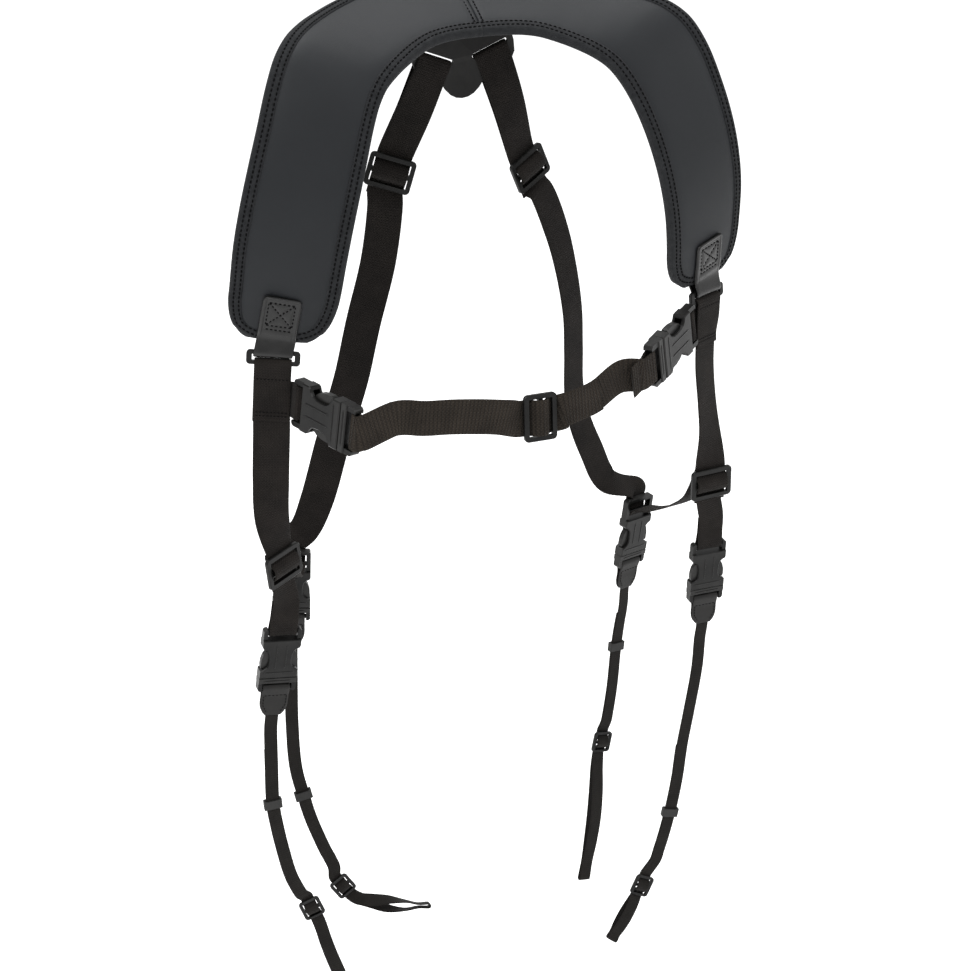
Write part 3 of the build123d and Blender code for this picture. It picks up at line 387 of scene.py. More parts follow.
    # left part: round the left male's bar and back through the slider behind the first layer
    keys2 = [(hl.at(vb + 24, -0.72), ul, WEB), (hl.at(vb + 12, -0.9), ul, WEB), (hl.at(vb + 4, -rc + 0.3), ul, WEB)]
    keys2 += [(hl.at(vb - rc * math.sin(th), -rc * math.cos(th)), ul, WEB) for th in [math.pi * j / 6 for j in range(7)]]
    keys2 += [(hl.at(vb + 4, rc - 0.3), ul, WEB), (hl.at(vb + 12, 0.9), ul, WEB)]
    keys2 += [(e[2] + v3(0, 0.6, 0), zup, WEB), (e[1] + v3(0.3, 0.55, 0), zup, WEB), (e[0] + v3(0, 0.35, 0), zup, WEB)]
    scb = [(p, us, w) for p, u, w in scurve(SL, GLIDE, -0.65, WEB)]
    keys2 += list(reversed(scb))[1:-1]
    keys2 += [(SL.at(-GLIDE["lo"] / 2 - 5, -(1.5 + 0.15 + 1.9)), us, WEB)]
    add("sternum_strap", ribbon(keys, WEB_T), ribbon(keys2, WEB_T))

    # ---- tether buckles, keepers, tethers, rings, small sliders
    TETHER = {
        "front_right": ("fbuck_right", [(-177.6, -21.0, -151.5), (-178.9, -21.0, -184.8), (-179.7, -21.0, -218.5), (-178.6, -21.0, -231.0),
                                        (-174.4, -20.0, -259.6), (-168.2, -20.0, -289.4), (-159.5, -20.0, -309.0)], (-154.4, -20.0, -320.0), (0.36, 0.0, -1.0),
                        [(-149.8, -20.4, -336.9), (-143.0, -22.0, -362.0), (-134.0, -24.0, -392.0), (-128.5, -26.0, -410.0)]),
        "front_left": ("fbuck_left", [(168.3, -21.0, -151.0), (167.2, -20.0, -179.0), (161.8, -19.0, -219.3), (157.5, -18.0, -249.6), (154.6, -17.0, -281.5),
                                      (149.2, -17.0, -311.8), (141.6, -17.0, -342.0), (133.9, -18.0, -361.9)], (124.7, -19.0, -376.0), (-0.50, -0.06, -1.0),
                       [(118.0, -20.5, -388.5), (108.5, -22.5, -401.0), (94.4, -26.0, -417.0)]),
        "rear_left": ("rbuck_left", [(130.6, 40.0, -146.0), (127.8, 40.0, -164.0), (125.4, 40.0, -182.4), (121.6, 39.0, -221.0), (116.8, 38.3, -250.0)],
                      (112.5, 37.5, -268.0), (-0.22, -0.05, -1.0), [(109.6, 36.2, -284.0), (108.6, 36.0, -305.0), (104.9, 34.0, -343.4), (94.6, 31.0, -395.0)]),
        "rear_right": ("rbuck_right", [(-143.0, 44.0, -146.0), (-144.8, 44.0, -195.7), (-143.8, 44.0, -234.8), (-139.4, 43.0, -260.1), (-135.0, 42.0, -281.0),
                                       (-126.4, 40.0, -309.5), (-118.5, 38.6, -333.0)], (-112.8, 37.0, -349.4), (0.52, -0.06, -0.84),
                       [(-102.0, 34.0, -360.8), (-85.0, 30.0, -367.0), (-62.0, 24.0, -372.4), (-45.7, 20.0, -375.0)]),
    }
    for tag, (bk, pre, gp, gv, post) in TETHER.items():
        h = HW[bk]
        lad = bk.startswith("rbuck")
        # leather keeper round the male's bar
        vb, rc, w = 43.4, 1.7 + 0.35 + 0.6, 20.2
        leg = [(66.5, 12.0), (64.5, 15.5), (61.5, 18.6), (57.5, w), (50.5, w)]
        kk = [(h.at(v, 1.22), h.U, ww) for v, ww in leg] + [(h.at(46.6, 2.1), h.U, w)]
        kk += [(h.at(vb - rc * math.sin(th), rc * math.cos(th)), h.U, w) for th in [math.pi * j / 6 for j in range(7)]]
        kk += [(h.at(46.6, -2.1), h.U, w)] + [(h.at(v, -1.22), h.U, ww) for v, ww in reversed(leg)]
        add("tether_keeper_" + tag, ribbon(kk, 1.2))
        # track of the tether: from inside the keeper to the end loop
        g = Hw(gp, gv, az(-6) if not lad else az(4))
        B = TGLIDE["t"] / 2 + 0.15 + 1.075
        track = [(h.at(53, 0), h.U), (h.at(60, 0), h.U), (h.at(68, 0), h.U)]
        n1 = len(pre)
        for i, p in enumerate(pre):
            f = (i + 1) / (n1 + 1)
            track.append((v3(p), (1 - f) * h.U + f * g.U))
        track += [(g.at(v, 0), g.U) for v in (-14.0, 0.0, 14.0)]
        uend = v3(0.15, 0.88, -0.40) if tag == "rear_right" else g.U
        post = [p for p in post if (v3(p) - g.o) @ g.V > 20]
        for i, p in enumerate(post):
            f = min(1.0, (i + 0.6) / 1.6) if tag == "rear_right" else 0.0
            track.append((v3(p), (1 - f) * g.U + f * uend))
        rows_ = catmull(np.array([list(p) + list(u) for p, u in track]), 8)
        C, U = rows_[:, :3], rows_[:, 3:6]
        S = np.concatenate([[0], np.cumsum(np.linalg.norm(np.diff(C, axis=0), axis=1))])
        T = np.array([unit(t) for t in np.gradient(C, axis=0)])
        U = np.array([unit(u - t * (u @ t)) for u, t in zip(U, T)])
        N = np.cross(T, U)
        if N[len(N) // 2] @ g.N < 0:
            N = -N
        Ltot = S[-1]
        sg = S[np.argmin(np.linalg.norm(C - g.o, axis=1))]

        def at(s, n):
            c = np.array([np.interp(s, S, C[:, q]) for q in range(3)])
            nn = unit(np.array([np.interp(s, S, N[:, q]) for q in range(3)]))
            uu = unit(np.array([np.interp(s, S, U[:, q]) for q in range(3)]))
            if s > Ltot:
                c = c + T[-1] * (s - Ltot)
            return c + nn * n, uu

        def weave(o):
            r = []
            for p, u, w in scurve(g, TGLIDE, o, TETHER_W, half=1.075):
                r.append((p, u, w))
            return r
        s_in, s_out = sg - TGLIDE["lo"] / 2 - 1.5, sg + TGLIDE["lo"] / 2 + 1.5
        # positions of ring and tail measured along the tether from the keeper
        main, ret = [], []
        ringp = {"front_right": (-179.7, -21.0, -218.5), "front_left": (149.2, -17.0, -311.8), "rear_left": (125.4, 40.0, -182.4), "rear_right": (-139.4, 43.0, -260.1)}[tag]
        tailp = {"front_right": (-178.9, -21.0, -172.0), "front_left": (157.5, -18.0, -249.6), "rear_left": (130.0, 40.0, -153.5), "rear_right": (-144.6, 44.0, -212.0)}[tag]
        s_ring = S[np.argmin(np.linalg.norm(C - v3(ringp), axis=1))]
        s_tail = S[np.argmin(np.linalg.norm(C - v3(tailp), axis=1))]
        s = 0.0
        grid = list(np.arange(0, s_in - 6, 9.0))
        for s in grid:
            p, u = at(s, 0.0)
            main.append((p, u, TETHER_W))
        gr = [s for s in grid if s > s_tail + 2] 
        rows_r = [at(s_tail, -1.15)] + [at(s, -1.15) for s in gr]
        wm, wr = weave(0.575), weave(-0.575)
        end = []
        # open end loop: the two strands part, round the end, and meet again
        Lr = Ltot - s_out
        opn = 3.4 if tag != "rear_right" else 4.8
        fr_ = [0.12, 0.3, 0.5, 0.7, 0.86]
        for f in fr_:
            z = math.sin(math.pi * min(1, f * 1.05)) * opn
            p, u = at(s_out + Lr * f, -(B - 0.575) * (1 - f) + z * 0.8)
            end.append((p, u, TETHER_W))
        r_end = 1.6
        for th in [math.pi * j / 6 for j in range(7)]:
            p, u = at(Ltot - r_end + r_end * math.sin(th), r_end * math.cos(th))
            end.append((p, u, TETHER_W))
        for f in reversed(fr_):
            z = math.sin(math.pi * min(1, f * 1.05)) * opn
            p, u = at(s_out + Lr * f, -(B + 0.575) * (1 - f) - z)
            end.append((p, u, TETHER_W))
        keys = main + wm + end + list(reversed(wr)) + [(p, u, TETHER_W) for p, u in reversed(rows_r)]
        add("tether_strap_" + tag, ribbon(keys, TETHER_T, turn=13, far=12))
        # rubber ring round both strands
        c0, u0 = at(s_ring, -0.575)
        c1, _ = at(s_ring + 3, -0.575)
        R = Hw(c0, c1 - c0, N[np.argmin(abs(S - s_ring))])
        HW["ring_" + tag] = R
        HW["tglide_" + tag] = g

build()
ORG = v3(NAPE)


def F(p):
    return (np.asarray(p, float) - ORG) / 1000.0


# ==== materials ==================================================================
def mat(name, base, rough, **kw):
    m = bpy.data.materials.new(name)
    m.use_nodes = True
    nt = m.node_tree
    nt.nodes.clear()
    out = nt.nodes.new("ShaderNodeOutputMaterial")
    b = nt.nodes.new("ShaderNodeBsdfPrincipled")
    nt.links.new(b.outputs[0], out.inputs[0])
    b.inputs["Base Color"].default_value = (*base, 1)
    b.inputs["Roughness"].default_value = rough
    for k, v in kw.items():
        b.inputs[k.replace("_", " ")].default_value = v
    return m, nt, b


def node(nt, kind, **kw):
    n = nt.nodes.new("ShaderNode" + kind)
    for k, v in kw.items():
        setattr(n, k, v)
    return n


def math_(nt, op, a, b=None, c=None):
    n = node(nt, "Math", operation=op)
    for i, v in enumerate((a, b, c)):
        if v is None:
            continue
        if isinstance(v, (int, float)):
            n.inputs[i].default_value = v
        else:
            nt.links.new(v, n.inputs[i])
    return n.outputs[0]


def mixc(nt, f, a, b):
    n = node(nt, "Mix", data_type="RGBA")
    nt.links.new(f, n.inputs[0]) if not isinstance(f, (int, float)) else setattr(n.inputs[0], "default_value", f)
    for i, v in ((6, a), (7, b)):
        if isinstance(v, tuple):
            n.inputs[i].default_value = (*v, 1)
        else:
            nt.links.new(v, n.inputs[i])
    return n.outputs[2]


def noise(nt, vec, scale, detail=3.0, rough=0.55):
    n = node(nt, "TexNoise")
    n.inputs["Scale"].default_value = scale
    n.inputs["Detail"].default_value = detail
    n.inputs["Roughness"].default_value = rough
    nt.links.new(vec, n.inputs["Vector"])
    return n.outputs["Fac"]


def bump(nt, b, h, strength, dist, chain=None):
    n = node(nt, "Bump")
    n.inputs["Strength"].default_value = strength
    n.inputs["Distance"].default_value = dist
    nt.links.new(h, n.inputs["Height"])
    if chain is not None:
        nt.links.new(chain, n.inputs["Normal"])
    nt.links.new(n.outputs[0], b.inputs["Normal"])
    return n.outputs[0]


def ramp(nt, f, lo, hi):
    n = node(nt, "MapRange")
    n.inputs["From Min"].default_value = lo
    n.inputs["From Max"].default_value = hi
    nt.links.new(f, n.inputs["Value"])
    return n.outputs[0]


def webbing(name, dark, light, pitch, yarn, rough=0.80, sheen=0.03, strength=0.8, rib=0.0019, groove_shade_and_depth=0.35):
    """Woven tape from its own UV in metres: u across, v along. Its colour follows the weave's relief: painted highlight
    on yarn crowns and rib crests, painted shade between yarns and in the rib grooves.
    """
    m, nt, b = mat(name, dark, rough, Specular_IOR_Level=0.10, Sheen_Weight=sheen, Sheen_Roughness=0.45)
    uv = node(nt, "UVMap", uv_map="tape")
    sep = node(nt, "SeparateXYZ")
    nt.links.new(uv.outputs[0], sep.inputs[0])
    u, v = sep.outputs[0], sep.outputs[1]
    uy = math_(nt, "MULTIPLY", u, 1.0 / yarn)
    cell = math_(nt, "FLOOR", uy)
    odd = math_(nt, "MODULO", math_(nt, "ABSOLUTE", cell), 2.0)
    ph = math_(nt, "ADD", math_(nt, "MULTIPLY", v, 1.0 / pitch), math_(nt, "MULTIPLY", odd, 0.5))
    a = math_(nt, "MULTIPLY_ADD", math_(nt, "SINE", math_(nt, "MULTIPLY", ph, 2 * math.pi)), 0.5, 0.5)
    c = math_(nt, "ABSOLUTE", math_(nt, "SINE", math_(nt, "MULTIPLY", uy, math.pi)))
    h = math_(nt, "MULTIPLY", math_(nt, "POWER", a, 0.7), c)
    tc = node(nt, "TexCoord")
    n1 = noise(nt, tc.outputs["Object"], 60, 3)
    n2 = noise(nt, tc.outputs["Object"], 1400, 2)
    # colour mix: yarn height h (light on the crowns, dark between yarns: painted highlight and shade of the weave) plus
    # random tone from noise
    f = math_(nt, "ADD", math_(nt, "MULTIPLY", h, 0.55), math_(nt, "MULTIPLY", ramp(nt, n1, 0.3, 0.7), 0.45))
    rr = math_(nt, "ABSOLUTE", math_(nt, "SINE", math_(nt, "MULTIPLY", v, math.pi / rib)))
    rr = math_(nt, "POWER", rr, 0.6)
    # the rib grooves (rr near 0) darken the colour: painted shade in the grooves; the same factor deepens the bump
    # below
    f = math_(nt, "MULTIPLY", f, math_(nt, "MULTIPLY_ADD", rr, groove_shade_and_depth, 1.0 - groove_shade_and_depth))
    nt.links.new(mixc(nt, f, dark, light), b.inputs["Base Color"])
    hh = math_(nt, "ADD", h, math_(nt, "MULTIPLY", n2, 0.5))
    hh = math_(nt, "ADD", hh, math_(nt, "MULTIPLY", rr, 1.6 * groove_shade_and_depth))
    bump(nt, b, hh, strength, 0.00035)
    return m


def plastic(name, base, light, rough=0.42, spec=0.5):
    m, nt, b = mat(name, base, rough, Specular_IOR_Level=spec)
    tc = node(nt, "TexCoord")
    big = noise(nt, tc.outputs["Object"], 90, 4, 0.6)
    fine = noise(nt, tc.outputs["Object"], 2600, 2)
    body = mixc(nt, ramp(nt, big, 0.35, 0.75), base, light)
    geo = node(nt, "NewGeometry")
    # convex edges (found by Pointiness) are mixed towards a lighter grey: partly edge wear, partly a painted highlight
    # along the edges
    edge_wear_and_highlight = math_(nt, "MULTIPLY", ramp(nt, geo.outputs["Pointiness"], 0.53, 0.62), math_(nt, "MULTIPLY_ADD", big, 0.8, 0.15))
    nt.links.new(mixc(nt, edge_wear_and_highlight, body, (0.028, 0.0276, 0.0266)), b.inputs["Base Color"])
    r = math_(nt, "MULTIPLY_ADD", big, 0.22, rough - 0.10)
    nt.links.new(r, b.inputs["Roughness"])
    bump(nt, b, fine, 0.25, 0.00012)
    return m


def cloth(name, base, light, rough, weave=0.0009, sheen=0.2, spec=0.3, strength=0.35, scale=45):
    """Close-woven or laminated cloth from object coordinates: a fine twill in three directions."""
    m, nt, b = mat(name, base, rough, Specular_IOR_Level=spec, Sheen_Weight=sheen, Sheen_Roughness=0.4)
    tc = node(nt, "TexCoord")
    sep = node(nt, "SeparateXYZ")
    nt.links.new(tc.outputs["Object"], sep.inputs[0])
    k = 2 * math.pi / weave
    s1 = math_(nt, "SINE", math_(nt, "MULTIPLY", math_(nt, "ADD", sep.outputs[0], sep.outputs[2]), k))
    s2 = math_(nt, "SINE", math_(nt, "MULTIPLY", math_(nt, "SUBTRACT", math_(nt, "ADD", sep.outputs[0], sep.outputs[1]), sep.outputs[2]), k))
    h = math_(nt, "MULTIPLY_ADD", math_(nt, "MULTIPLY", s1, s2), 0.5, 0.5)
    n1 = noise(nt, tc.outputs["Object"], scale, 4)
    n2 = noise(nt, tc.outputs["Object"], 1800, 2)
    nt.links.new(mixc(nt, ramp(nt, n1, 0.3, 0.72), base, light), b.inputs["Base Color"])
    hh = math_(nt, "ADD", h, math_(nt, "MULTIPLY", n2, 0.8))
    bump(nt, b, hh, strength, 0.0002)
    return m


def leather(name, base, light, rough, coat=0.15):
    m, nt, b = mat(name, base, rough, Specular_IOR_Level=0.28, Coat_Weight=coat, Coat_Roughness=0.25)
    tc = node(nt, "TexCoord")
    vo = node(nt, "TexVoronoi", feature="DISTANCE_TO_EDGE")
    vo.inputs["Scale"].default_value = 950
    nt.links.new(tc.outputs["Object"], vo.inputs["Vector"])
    pores = ramp(nt, vo.outputs["Distance"], 0.0, 0.35)
    n1 = noise(nt, tc.outputs["Object"], 120, 4)
    nt.links.new(mixc(nt, ramp(nt, n1, 0.3, 0.7), base, light), b.inputs["Base Color"])
    nt.links.new(math_(nt, "MULTIPLY_ADD", n1, 0.25, rough - 0.12), b.inputs["Roughness"])
    bump(nt, b, pores, 0.35, 0.00018)
    return m


MAT = {
    "main": webbing("webbing_main", (0.0062, 0.0054, 0.0049), (0.0200, 0.0168, 0.0146), 0.0020, 0.0011),
    "chest": webbing("webbing_chest", (0.0100, 0.0080, 0.0063), (0.0380, 0.0305, 0.0235), 0.0026, 0.0013, strength=1.0, rib=0.0027, groove_shade_and_depth=0.85),
    "tether": webbing("webbing_tether", (0.0072, 0.0066, 0.0060), (0.0190, 0.0168, 0.0150), 0.0014, 0.0009),
    "face": cloth("yoke_face_cloth", (0.0080, 0.0092, 0.0110), (0.0104, 0.0118, 0.0139), 0.58, weave=0.0006, sheen=0.03, spec=0.24, strength=0.16, scale=14),
    "tape": cloth("edge_tape_cloth", (0.0098, 0.0106, 0.0118), (0.0180, 0.0190, 0.0206), 0.78, weave=0.0013, sheen=0.04, spec=0.16, strength=0.9, scale=260),
    "lining": cloth("lining_mesh", (0.0085, 0.0086, 0.0090), (0.0170, 0.0172, 0.0178), 0.9, weave=0.0026, sheen=0.2, spec=0.15, strength=1.0, scale=90),
    "leather": leather("tab_leather", (0.0030, 0.0030, 0.0029), (0.0080, 0.0078, 0.0076), 0.34, coat=0.16),
    "keeper": leather("keeper_leather", (0.0030, 0.0027, 0.0024), (0.0080, 0.0071, 0.0065), 0.56, coat=0.02),
    "plastic": plastic("moulded_hardware", (0.0016, 0.0016, 0.0015), (0.0045, 0.0044, 0.0042), 0.34, 0.20),
    "plate": plastic("moulded_plate", (0.0030, 0.0028, 0.0027), (0.0060, 0.0056, 0.0053), 0.5, 0.15),
    "rubber": plastic("ring_rubber", (0.0060, 0.0059, 0.0058), (0.0115, 0.0113, 0.0111), 0.6, 0.25),
    "thread": cloth("sewing_thread", (0.0018, 0.0018, 0.0020), (0.0045, 0.0045, 0.0048), 0.85, weave=0.0005, sheen=0.0, spec=0.06, strength=0.6, scale=300),
    "floor": mat("studio_floor", (0.92, 0.92, 0.92), 0.9, Specular_IOR_Level=0.0, Emission_Color=(1, 1, 1, 1), Emission_Strength=0.36)[0],
}


# ==== mesh helpers ===============================================================
def make(name, V, faces, material, uv=None, smooth=True):
    """V in metres, row frame; uv one pair per face corner."""
    me = bpy.data.meshes.new(name)
    me.from_pydata([tuple(v) for v in V], [], faces)
    me.update()
    if uv is not None:
        lay = me.uv_layers.new(name="tape")
        lay.data.foreach_set("uv", np.asarray(uv, float).ravel())
    me.polygons.foreach_set("use_smooth", [smooth] * len(me.polygons))
    me.materials.append(MAT[material])
    ob = bpy.data.objects.new(name, me)
    bpy.context.scene.collection.objects.link(ob)
    return ob


def norm(a):
    return a / np.maximum(np.linalg.norm(a, axis=-1, keepdims=True), 1e-12)


def sampled(keys, step):
    rows = np.array([list(p) + list(u) + [w] for p, u, w in keys], float)
    R = catmull(rows, 12)
    d = np.linalg.norm(np.diff(R[:, :3], axis=0), axis=1)
    keep = np.concatenate([[True], d > 1e-6])
    R = R[keep]
    S = np.concatenate([[0], np.cumsum(np.linalg.norm(np.diff(R[:, :3], axis=0), axis=1))])
    n = max(6, int(round(S[-1] / step)))
    s = np.linspace(0, S[-1], n + 1)
    Q = np.stack([np.interp(s, S, R[:, i]) for i in range(7)], 1)
    P, U, W = Q[:, :3], Q[:, 3:6], Q[:, 6]
    T = norm(np.gradient(P, axis=0))
    U = norm(U - T * (U * T).sum(1, keepdims=True))
    return s, P, U, norm(np.cross(T, U)), T, W


def tape_mesh(name, ribs, material, step=0.5, cols=14, pitch=2.0, amp=0.06, corner=0.0, s_cut=None, extra=None):
    """Webbing as a closed strip with rounded selvedges, cross ribs in the mesh and UV in metres.
    s_cut = (list index, from, to) keeps part of a run; extra(s, x, side) adds height."""
    V, faces, uv = [], [], []
    for i, (keys, t) in enumerate(ribs):
        s, P, U, N, T, W = sampled(keys, step)
        if s_cut is not None:
            if s_cut[i] is None:
                continue
            k = (s >= s_cut[i][0]) & (s <= s_cut[i][1])
            s, P, U, N, T, W = s[k], P[k], U[k], N[k], T[k], W[k]
        c = np.linspace(-1, 1, cols)
        c = np.sign(c) * (1 - (1 - np.abs(c)) ** 1.25)
        base = len(V)
        er = t * 0.45
        prof = [(x, 0.5, 1) for x in c] + [(1.0, math.cos(a) * 0.5, 2) for a in (0.9, 1.57, 2.24)] + \
               [(x, -0.5, -1) for x in c[::-1]] + [(-1.0, -math.cos(a) * 0.5, -2) for a in (0.9, 1.57, 2.24)]
        m = len(prof)
        for j in range(len(s)):
            w = W[j] / 2
            if corner:
                e = min(s[j], corner)
                w = w - corner + math.sqrt(max(corner ** 2 - (corner - e) ** 2, 0)) if s[j] < corner else w
            rib = amp * math.cos(2 * math.pi * s[j] / pitch) if amp else 0.0
            for x, z, side in prof:
                if abs(side) == 1:
                    edge = min(1.0, (1 - abs(x)) * w / 1.6)
                    zz = z * t * (0.82 + 0.18 * math.sqrt(max(edge, 0))) + math.copysign(1, z) * rib * edge
                    if extra is not None:
                        zz += math.copysign(1, z) * extra(s[j], x * w, side)
                    xx = x * (w - er)
                else:
                    zz = z * t * 0.82
                    xx = math.copysign(w - er + er * math.sqrt(max(0.0, 1 - (2 * z) ** 2)), x)
                V.append(F(P[j] + U[j] * xx + N[j] * zz))
        arc = [0.0]
        for q in range(1, m):
            dx = (prof[q][0] - prof[q - 1][0]) * W[0] / 2
            arc.append(arc[-1] + math.hypot(dx, 0.3 if abs(prof[q][2]) == 2 else 0))
        arc.append(arc[-1] + 0.3)
        off = W[0] / 2
        for j in range(len(s) - 1):
            for q in range(m):
                a, b = base + j * m + q, base + j * m + (q + 1) % m
                faces.append((a, b, b + m, a + m))
                u0, u1 = (arc[q] - off) / 1000, (arc[q + 1] - off) / 1000
                v0, v1 = s[j] / 1000, s[j + 1] / 1000
                uv += [(u0, v0), (u1, v0), (u1, v1), (u0, v1)]
        e = base + (len(s) - 1) * m
        faces.append(tuple(base + q for q in reversed(range(m))))
        uv += [(0, 0)] * m
        faces.append(tuple(e + q for q in range(m)))
        uv += [(0, 0)] * m
    return make(name, V, faces, material, uv)


def stitches(name, runs, body, length=2.5, gap=1.0, r=0.34, material="thread"):
    """Rows of raised thread stitches.  runs: list of (points, normals) polylines in mm."""
    V, faces = [], []
    ring = [(math.cos(a), math.sin(a)) for a in np.linspace(0, 2 * math.pi, 7)[:-1]]
    for pts, nrm in runs:
        pts, nrm = np.asarray(pts, float), np.asarray(nrm, float)
        if nrm.ndim == 1:
            nrm = np.repeat(nrm[None], len(pts), 0)
        S = np.concatenate([[0], np.cumsum(np.linalg.norm(np.diff(pts, axis=0), axis=1))])
        k = max(1, int(S[-1] / (length + gap)))
        pit = S[-1] / k
        for i in range(k):
            s0, s1 = i * pit + gap / 2, (i + 1) * pit - gap / 2
            f = lambda s: np.array([np.interp(s, S, pts[:, q]) for q in range(3)])
            a, b = f(s0), f(s1)
            n = norm(np.array([np.interp((s0 + s1) / 2, S, nrm[:, q]) for q in range(3)]))
            t = norm(b - a)
            side = np.cross(n, t)
            base = len(V)
            prof = ((0.0, 0.25, -0.30), (0.12, 0.8, -0.02), (0.5, 1.0, 0.10), (0.88, 0.8, -0.02), (1.0, 0.25, -0.30))
            for x, g, h in prof:
                c = a + (b - a) * x + n * h
                for cx, cy in ring:
                    V.append(F(c + side * cx * r * g + n * cy * r * 0.8 * g))
            for j in range(len(prof) - 1):
                for q in range(6):
                    p, p2 = base + j * 6 + q, base + j * 6 + (q + 1) % 6
                    faces.append((p, p2, p2 + 6, p + 6))
            faces.append(tuple(base + q for q in reversed(range(6))))
            faces.append(tuple(base + 24 + q for q in range(6)))
    ob = make(name, V, faces, material)
    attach(ob, body)
    return ob


def bead(name, paths, hw, body, r=0.55, flat=0.6):
    """Low moulded ridges on a buckle: paths of (v, u, n) in the buckle's own axes."""
    V, faces = [], []
    for path in paths:
        pts = np.array([hw.at(v, n, u) for v, u, n in path])
        T = norm(np.gradient(pts, axis=0))
        base = len(V)
        for i, (p, t) in enumerate(zip(pts, T)):
            side = norm(np.cross(hw.N, t))
            g = 0.45 if i in (0, len(pts) - 1) else 1.0
            for a in np.linspace(0, 2 * math.pi, 9)[:-1]:
                V.append(F(p + side * math.cos(a) * r * g + hw.N * math.sin(a) * r * flat * g))
        for i in range(len(pts) - 1):
            for q in range(8):
                a, b = base + i * 8 + q, base + i * 8 + (q + 1) % 8
                faces.append((a, b, b + 8, a + 8))
        faces.append(tuple(base + q for q in reversed(range(8))))
        faces.append(tuple(base + (len(pts) - 1) * 8 + q for q in range(8)))
    ob = make(name, V, faces, "plastic")
    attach(ob, body)
    return ob


# ==== yoke =======================================================================
CROWN = 1.6
_rows = yoke_rows()
_A = np.array([np.concatenate([a, b, n]) for a, b, n in _rows])
_R = catmull(_A, 8)                     # rows from the lobe tip (0) to the centre back
_S = np.concatenate([[0], np.cumsum(np.linalg.norm(np.diff((_R[:, :3] + _R[:, 3:6]) / 2, axis=0), axis=1))])
LEN = _S[-1]


def row(s):
    q = np.array([np.interp(s, _S, _R[:, i]) for i in range(9)])
    return q[:3], q[3:6], unit(q[6:9])


def surf(s, r, side, h=0.0):
    """Point of the yoke's crowned top at s mm from the tip and r from -1 inner to 1 outer."""
    a, b, n = row(s)
    p = (a + b) / 2 + (b - a) / 2 * r + n * (CROWN * (1 - r * r) + h)
    if side > 0:
        return mirror_x(p), mirror_x(n)
    return p, n


def outline(side, inner_first=True):
    """(s, r) once round one half: centre back, inner edge, tip, outer edge, centre back."""
    L = [(s, -1.0) for s in np.linspace(LEN, 6.0, 150)]
    L += [(s, -1.0) for s in (4.0, 2.4, 1.2, 0.4)]
    L += [(0.0, r) for r in (-0.85, -0.6, -0.3, 0.0, 0.3, 0.6, 0.85)]
    L += [(s, 1.0) for s in (0.4, 1.2, 2.4, 4.0)]
    L += [(s, 1.0) for s in np.linspace(6.0, LEN, 150)]
    return L


def rim(side):
    """Outline points, inward directions and normals of one half, smoothed at the tip."""
    L = outline(side)
    P, N = zip(*[surf(s, r, side) for s, r in L])
    P, N = np.array(P), norm(np.array(N))
    n0 = len(P)
    # smooth the tip corners
    for _ in range(14):
        m = (P[:-2] + P[2:]) / 2
        k = np.array([1.0 if s < 9 else 0.0 for s, r in L])[1:-1, None]
        P[1:-1] += (m - P[1:-1]) * 0.5 * k
    d = np.linalg.norm(np.diff(P, axis=0), axis=1)
    S = np.concatenate([[0], np.cumsum(d)])
    s = np.linspace(0, S[-1], int(S[-1] / 2.0) + 1)
    P = np.stack([np.interp(s, S, P[:, i]) for i in range(3)], 1)
    N = norm(np.stack([np.interp(s, S, N[:, i]) for i in range(3)], 1))
    T = norm(np.gradient(P, axis=0))
    T[0] = T[-1] = 0
    T[0] = (-1 if side > 0 else 1) * v3(-1, 0, 0)
    T[-1] = -T[0]
    Q = norm(np.cross(N, T))
    mid, _ = surf(LEN * 0.5, 0.0, side)
    i = len(P) // 5
    if (mid - P[i]) @ Q[i] < 0:
        Q = -Q
    return s, P, Q, N


BODY_T = BIND_T * 2 + PAD_T + LINING_T


def slope(x):
    w = 75.0
    return CROWN * (1 - ((x - w / 2) / (w / 2)) ** 2)


def tape_profile():
    """(inward distance, height) round the bound edge, from the face side to the lining side."""
    pr = []
    for x, h in ((9.4, -0.95), (9.1, -0.35), (8.5, 0.02), (7.6, -0.16), (6.7, 0.10), (5.6, 0.14), (4.7, 0.06), (3.9, -0.16), (3.1, 0.08), (2.2, 0.02), (1.3, -0.35), (0.55, -1.0),
                 (0.12, -2.1), (0.0, -3.4), (0.12, -4.7), (0.55, -5.8), (1.3, -6.45), (2.6, -6.75), (4.4, -6.8), (6.0, -6.7), (7.0, -6.5), (7.3, -6.0)):
        pr.append((x, h))
    return pr


